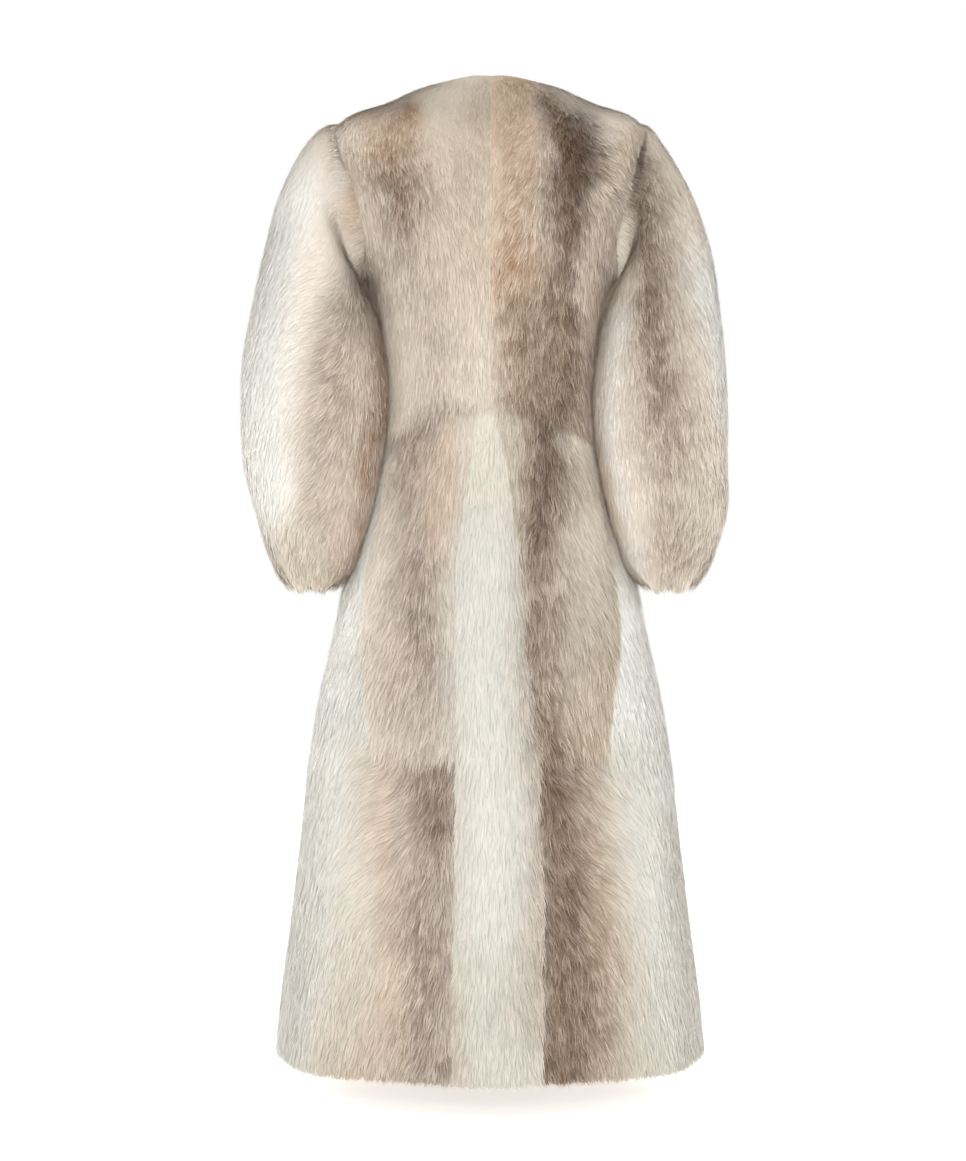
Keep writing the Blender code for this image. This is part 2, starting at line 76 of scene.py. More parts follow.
# The armhole's oval round the side line
armhole = {"side": 90.0, "back": 31.0, "front": 37.0, "fullerBelow": 0.2, "shoulder": 0.112, "depth": 0.197}
frontSeamAngle = 118.0

# The sleeves: one row for each ring, from just past the armhole to the cuff
sleeveColumns = ("leftX", "rightX", "outerZ", "innerX", "innerZ", "middleY", "halfDepth", "lean")
sleeveRings = {
    "cap":          (0.199, 0.191, -0.006, 0.156, -0.210, 0.000, 0.078, 0.002),
    "cap end":      (0.223, 0.210, -0.030, 0.154, -0.222, 0.008, 0.083, 0.007),
    "upper arm":    (0.249, 0.238, -0.082, 0.149, -0.237, 0.021, 0.087, 0.019),
    "biceps":       (0.268, 0.262, -0.155, 0.142, -0.259, 0.035, 0.089, 0.021),
    "above elbow":  (0.283, 0.273, -0.227, 0.136, -0.294, 0.046, 0.089, 0.020),
    "elbow":        (0.295, 0.280, -0.294, 0.132, -0.334, 0.051, 0.087, 0.017),
    "below elbow":  (0.297, 0.283, -0.358, 0.133, -0.376, 0.052, 0.084, 0.015),
    "forearm":      (0.294, 0.283, -0.417, 0.139, -0.424, 0.049, 0.079, 0.012),
    "low forearm":  (0.283, 0.284, -0.464, 0.149, -0.471, 0.044, 0.072, 0.010),
    "above cuff":   (0.269, 0.272, -0.511, 0.162, -0.515, 0.039, 0.062, 0.008),
    "cuff":         (0.248, 0.251, -0.553, 0.176, -0.553, 0.035, 0.049, 0.004),
    "cuff edge":    (0.236, 0.238, -0.566, 0.186, -0.566, 0.035, 0.039, 0.002),
}
gathers = {"count": 6, "height": 0.0035, "reach": 0.105}

# Seams down the back of the skirt, by height
goreEdges = {
    -0.345: (0.0165, 0.0060), -0.403: (0.0232, 0.0174), -0.519: (0.0376, 0.0327), -0.623: (0.0392, 0.0400),
    -0.759: (0.0380, 0.0550), -0.861: (0.0388, 0.0578), -1.029: (0.0415, 0.0600), hemZ: (0.0433, 0.0575),
}
backSeamAngles = {
    -0.345: 62.0, -0.470: 61.0, -0.580: 56.5, -0.690: 43.5, -0.754: 38.5, -0.830: 41.0, hemZ: 45.0,
}

# How far the hide stops short of each open edge, which the hair reaches past
openEdges = {"neck": 0.005, "hem": 0.013, "cuff": 0.008, "front": 0.0015}
coatSides = ((1, "left", "leftX"), (-1, "right", "rightX"))


def splineThrough(knots, rows, at):
    slopes = np.gradient(rows, knots, axis=0)
    first = np.clip(np.searchsorted(knots, at, side="right") - 1, 0, len(knots) - 2)
    span = knots[first + 1] - knots[first]
    part = (at - knots[first]) / span
    spare = (1,) * (rows.ndim - 1)
    part, span = part.reshape(part.shape + spare), span.reshape(span.shape + spare)
    near, far = rows[first], rows[first + 1]
    nearSlope, farSlope = slopes[first] * span, slopes[first + 1] * span
    turn = nearSlope + farSlope - 2 * (far - near)
    return near + part * (nearSlope + part * ((far - near) - nearSlope + turn * (part - 1)))


def lengthAlong(points):
    return np.concatenate([[0.0], np.cumsum(np.linalg.norm(np.diff(points, axis=0), axis=1))])


def ease(value):
    value = np.clip(value, 0, 1)
    return value * value * (3 - 2 * value)


def unit(vectors):
    return vectors / np.maximum(np.linalg.norm(vectors, axis=-1, keepdims=True), 1e-12)


def column(rings, columns, name):
    return np.array(list(rings.values()))[:, columns.index(name)]


bodyTable = np.array(list(bodyRings.values()))
bodySideZ = column(bodyRings, bodyColumns, "sideZ")
bodyHalfWidth = column(bodyRings, bodyColumns, "halfWidth")
bodyDown = lengthAlong(np.stack([bodyHalfWidth, bodySideZ], axis=1))
fineSteps = 4000
fineDown = np.linspace(0, bodyDown[-1], fineSteps)
fineHeight = splineThrough(bodyDown, bodySideZ, fineDown)


def downTo(height):
    return np.interp(-np.asarray(height, float), -fineHeight, fineDown)


def heightOf(down):
    return splineThrough(bodyDown, bodySideZ, np.asarray(down, float))


def bodyPoint(angle, down):
    backZ, sideZ, frontZ, halfWidth, backDepth, frontDepth, squareness = np.moveaxis(
        splineThrough(bodyDown, bodyTable, down), -1, 0)
    sine, cosine = np.sin(np.radians(angle)), np.cos(np.radians(angle))
    atBack = cosine > 0
    boxy = (np.abs(sine) ** squareness + np.abs(cosine) ** squareness) ** (-1 / squareness)
    flare = ease((sideZ - flutes["startsZ"]) / (flutes["fullZ"] - flutes["startsZ"]))
    swell = boxy * (1 + flutes["share"] * flare * np.cos(flutes["count"] * np.radians(angle)))
    x = halfWidth * sine * swell
    y = np.where(atBack, backDepth, frontDepth) * cosine * swell
    z = sideZ + (np.where(atBack, backZ, frontZ) - sideZ) * cosine ** 2
    return np.stack([x, y, z], axis=-1)


stepRound, stepAlong = 0.45, 0.0015  # degrees and metres, to measure a surface's direction


def bodyNormal(angle, down):
    roundIt = bodyPoint(angle + stepRound, down) - bodyPoint(angle - stepRound, down)
    downIt = bodyPoint(angle, down + stepAlong) - bodyPoint(angle, down - stepAlong)
    return unit(np.cross(roundIt, downIt))


def armholeLine(turn):
    sine, cosine = np.sin(np.radians(turn)), np.cos(np.radians(turn))
    width = np.where(sine > 0, armhole["back"], armhole["front"])
    fullness = 1 - armhole["fullerBelow"] * cosine
    middle = armhole["shoulder"] + armhole["depth"] / 2
    return armhole["side"] - width * sine * fullness, middle - armhole["depth"] / 2 * cosine


def waistDown(angle):
    aside = np.abs(np.sin(np.radians(angle))) ** waist["power"]
    return downTo(waist["centreZ"] - waist["dropToSide"] * aside)


def tierDown(angle):
    return downTo(np.full_like(angle, tierZ))


def hemDown(angle):
    return np.full_like(angle, bodyDown[-1])


def goreEdge(side):
    heights = -np.array(list(goreEdges))
    places = np.array([row[0 if side > 0 else 1] for row in goreEdges.values()])

    def edge(down):
        across = splineThrough(heights, places, -heightOf(down))
        return side * np.degrees(np.arcsin(across / splineThrough(bodyDown, bodyHalfWidth, down)))

    return edge


def backSeam(side):
    heights, angles = -np.array(list(backSeamAngles)), np.array(list(backSeamAngles.values()))
    return lambda down: side * splineThrough(heights, angles, -heightOf(down))


def straightSeam(side, angle):
    return lambda down: side * np.full_like(down, angle)


# Relief of the pile, as in the solids
neckRoll = {"reach": 0.022, "depth": 0.009}
hemRoll = {"reach": 0.022, "depth": 0.012}
frontRoll = {"reach": 0.012, "depth": 0.008}
tierLip = {"rise": 0.006, "reach": 0.045, "height": 0.004}
waistLip = {"rise": 0.006, "reach": 0.045, "height": 0.002}
tierTuck = {"reach": 0.036, "depth": 0.003}
backSeamDip = {"reach": 0.022, "depth": 0.0025}
# The sleeves rest against the sides of the body, so the pile swells on both until it meets
bodySwell = {"height": 0.008, "side": 90.0, "reach": 24.0, "middleZ": -0.39, "halfZ": 0.24, "firmness": 1.6}
sleeveSwell = {"height": 0.011, "from": 0.015, "over": 0.09, "end": 0.05}


def roll(distance, reach, depth):
    short = np.clip(1 - distance / reach, 0, 1)
    return -depth * (1 - np.sqrt(1 - short ** 2))


def lip(distance, rise, reach, height):
    return height * np.clip(distance / rise, 0, 1) * ease(1 - distance / reach)


def tuck(distance, reach, depth):
    return -depth * ease(1 - distance / reach)


def swell(angle, down):
    nearSide = ease(1 - np.abs(np.abs(angle) - bodySwell["side"]) / bodySwell["reach"])
    nearMiddle = 1 - np.abs(heightOf(down) - bodySwell["middleZ"]) / bodySwell["halfZ"]
    return bodySwell["height"] * nearSide * ease(bodySwell["firmness"] * nearMiddle)


def cellsFor(length):
    return max(3, int(math.ceil(length / wall["cell"])))


probes, settleRounds = 9, 12  # to size a panel, and to find where its rows cross the seams


def skirtSurface(firstSeam, secondSeam, upper, lower, relief):  # one panel between two seams and two levels
    probe = np.linspace(0, 1, probes)

    def crossings(columns, parts):
        angle = np.zeros((len(parts), len(columns)))
        for _ in range(settleRounds):
            down = np.stack([upper(row) + (lower(row) - upper(row)) * part
                             for part, row in zip(parts, angle)])
            first, second = firstSeam(down), secondSeam(down)
            angle = first + (second - first) * columns
        return angle, down

    rough = bodyPoint(*crossings(probe, probe))
    wide = max(lengthAlong(row)[-1] for row in rough)
    long = max(lengthAlong(rough[:, c])[-1] for c in range(len(probe)))
    columns = np.linspace(0, 1, cellsFor(wide) + 1)
    angle, down = crossings(columns, np.linspace(0, 1, cellsFor(long) + 1))
    normal = bodyNormal(angle, down)
    surface = bodyPoint(angle, down)
    return {"surface": surface, "top": surface + relief(angle, down, columns)[..., None] * normal,
            "normal": normal, "thickness": np.full(angle.shape, wallThickness)}


def lowHem(angle):
    return hemDown(angle) - openEdges["hem"]


def skirtRelief(angle, down, columns):
    belowWaist, aboveHem = down - waistDown(angle), hemDown(angle) - down
    return tuck(belowWaist, **tierTuck) + roll(aboveHem, **hemRoll) + swell(angle, down)


def goreRelief(angle, down, columns):
    across = 2 * columns - 1
    climb = ease((heightOf(down) - goreRidge["startsZ"]) / (goreRidge["fullZ"] - goreRidge["startsZ"]))
    crown = 1 - (1 - goreRidge["edgeShare"]) * across ** 2
    return skirtRelief(angle, down, columns) + goreRidge["height"] * climb * crown


def middleRelief(angle, down, columns):
    lips = lip(tierDown(angle) - down, **tierLip)
    return tuck(down - waistDown(angle), **tierTuck) + lips + swell(angle, down)


def lowerRelief(angle, down, columns):
    return tuck(down - tierDown(angle), **tierTuck) + roll(hemDown(angle) - down, **hemRoll)


def frontRelief(angle, down, columns):
    fromOpening = np.abs(bodyPoint(angle, down)[..., 0])
    return np.minimum(skirtRelief(angle, down, columns), roll(fromOpening, **frontRoll))


def sleeveSurface(turn, along, outerX):
    rings = dict(zip(sleeveColumns, np.array(list(sleeveRings.values())).T))
    cosine, sine = np.cos(np.radians(turn)), np.sin(np.radians(turn))
    none = 0 * rings["outerZ"]
    outer = np.stack([rings[outerX], none, rings["outerZ"]], axis=1)[:, None]
    inner = np.stack([rings["innerX"], none, rings["innerZ"]], axis=1)[:, None]
    back = np.stack([-rings["lean"], rings["halfDepth"], none], axis=1)[:, None]
    middle = (outer + inner) / 2
    middle[..., 1] += rings["middleY"][:, None]
    points = middle + cosine[:, None] * (outer - inner) / 2 + sine[:, None] * back
    points = np.concatenate([bodyPoint(*armholeLine(turn))[None], points])
    return splineThrough(sleeveKnots, points, along)


def findSleeveKnots():
    places = {name: column(sleeveRings, sleeveColumns, name) for name in sleeveColumns}
    tip, pit = bodyPoint(*armholeLine(np.array([0.0, 180.0])))[:, [0, 2]]
    top = np.vstack([tip, np.stack([places["leftX"], places["outerZ"]], axis=1)])
    under = np.vstack([pit, np.stack([places["innerX"], places["innerZ"]], axis=1)])
    return (lengthAlong(top) + lengthAlong(under)) / 2


sleeveKnots = findSleeveKnots()


def sleeveNormal(turn, along, outerX):
    nearer = np.maximum(along - stepAlong, 0)
    further = np.minimum(along + stepAlong, sleeveKnots[-1])
    roundIt = sleeveSurface(turn + stepRound, along, outerX) - sleeveSurface(turn - stepRound, along, outerX)
    alongIt = sleeveSurface(turn, further, outerX) - sleeveSurface(turn, nearer, outerX)
    return unit(np.cross(alongIt, roundIt))


def armholeFold(turn, outerX):  # the way out of the crease between body and left sleeve
    wayRound = unit(bodyPoint(*armholeLine(turn + stepRound)) - bodyPoint(*armholeLine(turn - stepRound)))
    outOfBody = bodyNormal(*armholeLine(turn))
    outOfSleeve = sleeveNormal(turn, np.array([0.0]), outerX)[0]
    return unit(outOfBody + np.cross(outOfBody, wayRound) + outOfSleeve + np.cross(wayRound, outOfSleeve))


foldReach = 0.045  # how far from the armhole a wall takes to leave the crease's direction
bodiceWidth = 0.185  # and the length below the armhole, for the size of the cells
armholeRound, sleeveRound = 1.25, 22  # half the armhole's oval in depths, and a half sleeve's columns


def bodiceSurface(side, outerX, atFront):
    neckRows = np.linspace(openEdges["neck"], armhole["shoulder"], cellsFor(armhole["shoulder"]) + 1)[:-1]
    turns = np.linspace(0, 180, cellsFor(armhole["depth"] * armholeRound) + 1)
    holeTurns = -turns if atFront else turns
    holeAngle, holeDown = armholeLine(holeTurns)
    shares = np.linspace(0, 1, cellsFor(bodiceWidth) + 1)
    below = shares[1:]
    edge = np.concatenate([np.full(len(neckRows), armhole["side"]), holeAngle,
                           np.full(len(below), armhole["side"])])[:, None]
    angle = edge + (180 - edge) * shares if atFront else edge * (1 - shares)
    down = np.empty_like(angle)
    down[:len(neckRows)] = neckRows[:, None]
    atHole = slice(len(neckRows), len(neckRows) + len(turns))
    down[atHole] = holeDown[:, None]
    for row, part in enumerate(below, atHole.stop):
        down[row] = holeDown[-1] + (waistDown(angle[row]) - holeDown[-1]) * part
    relief = roll(down, **neckRoll) + lip(waistDown(angle) - down, **waistLip) + swell(angle, down)
    fromCentre = np.abs(bodyPoint(angle, down)[..., 0])
    if atFront:
        relief = np.minimum(relief, roll(fromCentre, **frontRoll))
    else:
        relief = relief + tuck(fromCentre, **backSeamDip)
    surface, normal = bodyPoint(angle, down), bodyNormal(angle, down)
    top = surface + relief[..., None] * normal
    away = np.linalg.norm(surface[atHole] - surface[atHole, :1], axis=-1)
    weight = ease(1 - away / foldReach)[..., None]
    normal[atHole] = unit(normal[atHole] * (1 - weight) + armholeFold(holeTurns, outerX)[:, None] * weight)
    if not atFront:  # rows of the back run from the centre seam outwards, as the skirt's do
        surface, top, normal = surface[:, ::-1], top[:, ::-1], normal[:, ::-1]
    mirror = np.array([side, 1, 1])
    return {"surface": surface * mirror, "top": top * mirror, "normal": normal * mirror,
            "thickness": np.full(surface.shape[:2], wallThickness)}


def sleeveHalf(side, outerX, firstTurn):
    along = np.linspace(0, sleeveKnots[-1] - openEdges["cuff"], cellsFor(sleeveKnots[-1]) + 1)
    turn = firstTurn + np.linspace(0, 180, sleeveRound)
    gathered = ease(1 - (sleeveKnots[-1] - along) / gathers["reach"])
    surface, normal = sleeveSurface(turn, along, outerX), sleeveNormal(turn, along, outerX)
    weight = ease(1 - along / foldReach)[:, None, None]
    normal = unit(normal * (1 - weight) + armholeFold(turn, outerX)[None] * weight)
    wave = np.cos(gathers["count"] * np.radians(turn)) * gathered[:, None]
    pastCap = ease((along - sleeveSwell["from"]) / sleeveSwell["over"])
    aboveCuff = ease((sleeveKnots[-1] - along) / sleeveSwell["end"])
    inwards = ease(-np.cos(np.radians(turn))) * pastCap[:, None] * aboveCuff[:, None]
    top = surface + (gathers["height"] * wave + sleeveSwell["height"] * inwards)[..., None] * normal
    thickness = wallThickness + (wall["cuff"] - wallThickness) * gathered
    mirror = np.array([side, 1, 1])
    return {"surface": top * mirror, "top": top * mirror, "normal": normal * mirror,
            "thickness": np.repeat(thickness[:, None], len(turn), axis=1)}


def everyPanel():  # each cut piece's surface, by the name of its node
    panels = {"back_centre_gore": skirtSurface(goreEdge(-1), goreEdge(1), waistDown, lowHem, goreRelief)}
    for side, word, outerX in coatSides:
        edge, seam, front = goreEdge(side), backSeam(side), straightSeam(side, frontSeamAngle)
        opening = straightSeam(side, 180.0)
        panels["back_middle_" + word] = skirtSurface(edge, seam, waistDown, tierDown, middleRelief)
        panels["back_lower_" + word] = skirtSurface(edge, seam, tierDown, lowHem, lowerRelief)
        panels["side_" + word] = skirtSurface(seam, front, waistDown, lowHem, skirtRelief)
        panels["front_skirt_" + word] = skirtSurface(front, opening, waistDown, lowHem, frontRelief)
        panels["back_upper_" + word] = bodiceSurface(side, outerX, False)
        panels["front_upper_" + word] = bodiceSurface(side, outerX, True)
        panels["sleeve_top_" + word] = sleeveHalf(side, outerX, -90.0)
        panels["sleeve_under_" + word] = sleeveHalf(side, outerX, 90.0)
    return panels


# Colours of the hair, as red, green and blue of 255
hairColours = {
    "white": (241, 240, 234), "ivory": (235, 226, 214), "blueWhite": (220, 219, 213),
    "cream": (225, 215, 200), "pearl": (208, 206, 198), "warmCream": (219, 196, 174),
    "butter": (200, 198, 187), "oat": (202, 189, 173), "peach": (207, 184, 163), "ash": (195, 186, 167),
    "tan": (186, 172, 156), "sand": (185, 166, 142), "mole": (166, 149, 133), "camel": (180, 142, 106),
    "russet": (158, 138, 118), "taupe": (147, 120, 94), "umber": (131, 102, 77), "bark": (80, 55, 41),
    "apricot": (192, 160, 128),
}

# The colour of each piece, as its ground colour and then its stripes, each one laid over the last: mostly the
# hair's dyeing, with a few stripes of painted highlight, painted light and painted shadow, each marked where
# it stands. A stripe is (colour, strength, points from top to bottom). A point is where it shows from behind,
# in centimetres left of the centre seam and above the shoulders, and the stripe's half width there.
dyeAndPaintedLight = {
    "back_upper_left": ("cream", [
        ("oat", 0.83, [(0.2, -20, 2), (1.8, -31, 4.2), (1, -38, 4.2)]),
        ("camel", 0.9, [(9.3, 1.5, 0.9), (11.9, -3, 3.6), (12.9, -9, 3.3)]),
        ("umber", 0.93, [(11.8, -9, 4.2), (13.2, -14, 4.2), (14.1, -19, 2.8)]),
        ("tan", 0.9, [(8.5, -19, 4.2), (6.6, -26, 3.3), (7.3, -33, 2.2)]),
        ("cream", 0.64, [(15.3, -9, 2.2), (12.9, -17, 1.7), (11.9, -25, 2), (11.2, -33, 3.7)]),
        # painted shadow: a russet band where the bodice hangs over the waist seam and shades it
        ("russet", 0.56, [(9.6, -36.5, 0.8), (7.6, -35.2, 1.5), (5.5, -34.6, 1.6)]),
        ("sand", 0.69, [(-0.6, 3, 3.5), (2.7, -6, 4.2), (2.2, -16, 4.1)]),
    ]),
    "back_upper_right": ("ivory", [
        ("apricot", 0.9, [(-2.8, 4, 3.4), (-3.2, -8, 3.8), (-2.8, -17, 3.4)]),
        ("tan", 0.45, [(0.4, -18, 0.8), (-0.5, -27, 1), (-1.4, -37, 2)]),
        ("camel", 0.85, [(-3.8, -19, 4.1), (-3.6, -27, 2.4), (-5.2, -37, 3)]),
        ("umber", 1, [(-6.7, 3, 0.8), (-9.5, -3, 2.6), (-9.4, -9, 2.9), (-9.5, -14, 2.9)]),
        ("bark", 0.89, [(-10.6, 0, 1.3), (-13, -6, 4.2)]),
        ("sand", 1, [(-16.8, -3, 2.3), (-13.1, -9, 1.2)]),
        ("peach", 0.9, [(-14.2, -13, 1.5), (-12.8, -21, 1.3), (-14, -30, 1.9), (-10.5, -37, 3.5)]),
        ("mole", 0.62, [(-15.5, -11, 1.2), (-14.4, -17, 1.6)]),
        ("taupe", 0.75, [(-3.9, -22, 2.4), (-5, -31, 3.2)]),
        ("bark", 0.72, [(-9.4, -18, 1), (-9.4, -26, 1.3), (-9, -33, 1.5), (-7.2, -38, 1.4)]),
        ("taupe", 0.9, [(-7.2, -19, 1.4), (-8.7, -28, 3.3), (-6.2, -37, 2.9)]),
        ("taupe", 0.83, [(-9.5, -17, 1.4), (-9.2, -23, 1.8), (-8.4, -29, 1.1), (-6, -36, 2.4),
                         (-7.1, -38.5, 1.6)]),
    ]),
    "back_middle_left": ("oat", [
        ("mole", 1, [(8.4, -38, 4.2), (9.9, -43, 4), (6.9, -48.5, 2.5), (8.7, -54.5, 2.2),
                     (8.6, -60.5, 1.6), (6.7, -67.5, 3.8), (5.3, -73.5, 1.9)]),
        ("peach", 1, [(4.2, -36, 1.6), (4.4, -42.5, 4.2), (5.8, -48.5, 2.6)]),
        ("pearl", 0.67, [(2.2, -36, 1.7), (1.9, -44, 1.4), (4.1, -53, 1.6), (4.4, -62.5, 1.2),
                             (3.6, -74.5, 3.5)]),
        ("ivory", 0.99, [(13.2, -37.5, 1.6), (13.7, -43.5, 2.3), (14.4, -53, 1.8), (17.2, -62, 0.8)]),
        ("ivory", 0.51, [(14.4, -44, 1.5), (15.5, -55, 1.7), (17.6, -66, 2.7), (16.7, -76, 3)]),
        ("tan", 0.52, [(10.7, -66, 0.8), (9, -75, 3.3)]),
    ]),
    "back_middle_right": ("ash", [
        ("bark", 1, [(-6.8, -34, 1.8), (-7.7, -40, 2.3), (-6.6, -47, 1.9), (-6, -54, 0.8)]),
        ("taupe", 0.99, [(-6.1, -52, 1.6), (-6.8, -60, 4), (-6.7, -68, 2.2), (-7.5, -76, 4.2)]),
        ("camel", 0.41, [(-5.1, -37.5, 1.7), (-4.9, -46, 0.8), (-5.5, -51, 1.1)]),
        ("tan", 0.62, [(-9.5, -44, 1.8), (-7.7, -58, 3.7), (-9.7, -70, 1.8)]),
        ("cream", 1, [(-11, -36, 2.4), (-13.7, -48, 3.9)]),
        ("pearl", 0.32, [(-13.3, -49, 2.1), (-10, -62, 1)]),
        ("sand", 0.76, [(-16.1, -46, 0.8), (-17.2, -58, 1.1), (-13, -70, 3), (-12.8, -76, 0.8)]),
        ("sand", 0.85, [(-11.7, -73, 2.6), (-12.6, -75, 0.8)]),
        ("umber", 0.55, [(-6.9, -37, 0.9), (-8, -43, 2.9), (-6.8, -48, 1.7), (-6.1, -54, 0.8),
                         (-5.9, -62, 0.8)]),
    ]),
    "back_centre_gore": ("butter", [
        ("cream", 0.45, [(1.3, -35, 2.8), (0.8, -41, 4)]),
        ("blueWhite", 0.45, [(0.6, -50, 3.4), (1, -70, 3), (-0.1, -94, 4.2)]),
        ("mole", 1, [(-4.2, -45, 0.8), (-5.4, -52, 1.6), (-5.9, -70, 1.9), (-7.2, -82, 1.7),
                     (-9, -106, 4.2)]),
        ("ash", 0.44, [(5.2, -60, 0.8), (4.1, -80, 1.1), (4.1, -112, 0.9)]),
        ("tan", 0.69, [(4.4, -104, 0.8), (4.1, -115, 1.2)]),
    ]),
    "skirt_left": ("white", [
        ("pearl", 1, [(12, -40, 1.5), (12, -53, 0.8), (14.1, -62.5, 2.6), (15.5, -72, 4.1)]),
        ("sand", 0.78, [(11.5, -78, 2.7), (11.1, -90, 1.7), (12.4, -102, 4.2), (16.6, -115, 4.2)]),
        ("ash", 0.74, [(14.3, -78, 3.3), (16, -90, 3.7), (18.1, -102, 4.2), (19.9, -115, 4.2)]),
        ("peach", 0.76, [(11.5, -78.5, 1.7), (12.5, -86, 2), (10.8, -94, 1.7), (11.5, -101, 0.9),
                         (11.4, -107, 1.7), (11.7, -115, 2.3)]),
        ("sand", 1, [(7.4, -97, 2), (9.2, -106, 1.8), (11.2, -115, 4.2)]),
        ("mole", 0.91, [(8.2, -77.5, 2.6), (6.7, -82, 2.6), (8.2, -90, 2.2), (8.8, -96, 1.7),
                        (7.4, -101, 1), (8.1, -108, 1.6), (7.5, -115, 2.3)]),
        ("umber", 0.78, [(5.1, -77.5, 2.6), (5.8, -82, 3.3), (5.6, -87, 0.8)]),
        ("russet", 0.83, [(5.4, -88, 1.9), (6.4, -96, 3.4), (5.9, -104, 2.2), (5.2, -115, 2.2)]),
        ("pearl", 0.73, [(19.1, -80, 3.2), (21.9, -95, 4.2), (24.2, -112, 1.7)]),
    ]),
    "skirt_right": ("blueWhite", [
        ("camel", 0.65, [(-13.8, -42, 2.6), (-15, -50, 2.9)]),
        ("white", 0.89, [(-16.4, -46, 1.8), (-16.9, -58, 2.8)]),
        ("butter", 0.63, [(-15.8, -77, 4.2), (-17.2, -89, 2.6), (-18, -104, 3), (-19.3, -115, 4)]),
        ("ash", 0.86, [(-11.7, -78, 2.6), (-12.7, -88, 1.5), (-14.3, -98, 2.5), (-15.5, -115, 4.2)]),
        ("sand", 0.86, [(-11.3, -88, 3), (-12.3, -98, 1.8), (-12.5, -107, 2.4), (-12.6, -115, 2.1)]),
        ("camel", 0.5, [(-9.5, -80, 3.2), (-10.3, -90, 1.3), (-12.5, -100, 3.1), (-11, -108, 2),
                        (-10.6, -115, 2.1)]),
        ("umber", 0.98, [(-6.4, -77, 4.2), (-8.1, -84, 2.3), (-8.4, -91, 2.6), (-8.5, -98, 3.4),
                         (-8.7, -107, 4), (-8.1, -115.5, 4.1)]),
        ("taupe", 0.69, [(-6, -84, 1.4), (-6.7, -94, 0.8), (-7.6, -104, 3.5), (-6.2, -115, 1.2)]),
        ("ash", 0.38, [(-22.7, -84, 1.7), (-23.4, -98, 1.7), (-23.9, -112, 2.9)]),
    ]),
    "sleeve_left": ("ivory", [
        # painted highlight: the white stripe down the crown of the sleeve, where the light falls fullest
        ("white", 0.98, [(24.4, -8, 4.2), (29.2, -22, 1.4), (30.9, -36, 1)]),
        # painted light: the bluish white along the sleeve's outer edge is the light of the white surroundings
        ("blueWhite", 1, [(26, -14, 3), (27, -26, 4), (27.4, -36, 4.2), (26.4, -46, 3.6)]),
        ("mole", 0.5, [(17.4, -22, 1.4), (18.4, -29, 1.6), (19, -35, 1.4)]),
        ("peach", 0.98, [(15.7, 0, 1), (15.5, -6, 1), (16.2, -12, 1.8)]),
        ("tan", 1, [(13.8, -15, 1.5), (15.2, -20, 2.8), (18, -26, 2.7), (18.9, -32, 2.8), (19.7, -38, 3.3),
                    (20.6, -44, 1.8), (21, -51.5, 3)]),
        ("sand", 0.62, [(17.8, -27, 0.9), (15.8, -34, 2.9), (17.1, -42, 1.5), (18.6, -48, 0.8)]),
        # painted shadow: the camel stripe along the sleeve's inner edge, where it rests against the body
        ("camel", 0.86, [(11.5, -25, 2.3), (12.5, -33, 1.4), (14.1, -40, 1.2), (15.3, -48, 0.8)]),
        ("umber", 0.37, [(14.9, -12.8, 1.4), (13.7, -17.4, 0.8), (13.6, -20, 1.1)]),
        ("peach", 0.92, [(16, -52, 4.2), (18.3, -55, 0.9), (22.5, -55.5, 1.3)]),
        ("ash", 1, [(23.6, -51, 3.4), (22.4, -54.5, 2.6)]),
        ("tan", 0.5, [(23.6, -52.5, 2.2), (19, -54.5, 2)]),
    ]),
    "sleeve_right": ("cream", [
        # painted light: the white stripe along the sleeve's inner edge lightens the crease where the body
        # shades it
        ("white", 0.7, [(-15.6, -22, 0.8), (-15, -25.5, 1.3), (-14.2, -36, 0.9), (-15.2, -46, 0.8),
                         (-17.3, -52, 1.7)]),
        # painted light: the bluish white along the sleeve's outer edge is the light of the white surroundings
        ("blueWhite", 0.99, [(-26.3, -19, 4), (-28, -28, 1.3), (-29, -36, 1.3)]),
        ("tan", 0.82, [(-17.7, -2.5, 0.8), (-20.5, -8, 1.1), (-21.2, -15, 1.5), (-22.1, -24, 2.4)]),
        ("russet", 0.92, [(-18, -3, 0.8), (-17.9, -7, 2.3), (-18.5, -12.5, 2), (-19.5, -18, 2.2),
                          (-18.8, -24, 2)]),
        ("russet", 0.9, [(-19.3, -24, 1.5), (-20.3, -30, 3.7), (-21.5, -37, 4.1), (-22.2, -44, 3),
                         (-22.9, -51, 2.6)]),
        ("umber", 0.45, [(-18.2, -9, 1), (-19.2, -22, 1.3), (-20.6, -33, 1.2)]),
        ("warmCream", 0.62, [(-12.4, -39, 0.8), (-13.6, -45, 0.9), (-14.1, -48, 1.8)]),
        ("ash", 0.98, [(-25.3, -44.5, 3.1), (-24.3, -52, 1.6)]),
        ("russet", 0.68, [(-21.8, -52.5, 3.6), (-21.6, -55, 1.9)]),
    ]),
    "front_upper": ("cream", [
        ("mole", 0.85, [(8, 0, 2.4), (9, -12, 2.8), (8.5, -24, 2.6), (8, -36, 2.6)]),
        ("tan", 0.6, [(4.6, -4, 1.6), (5, -14, 1.8), (4.8, -30, 1.8)]),
    ]),
    "front_skirt": ("cream", [
        ("mole", 0.8, [(8, -36, 2.6), (8.6, -50, 2.8), (9.5, -70, 3), (10, -90, 3), (10.5, -115, 3)]),
        ("tan", 0.5, [(12.5, -40, 2), (13.5, -60, 2.2), (14.5, -90, 2.4), (15, -115, 2.4)]),
        ("ivory", 0.9, [(1.5, -40, 2.6), (1.8, -70, 2.8), (2, -115, 3)]),
    ]),
}

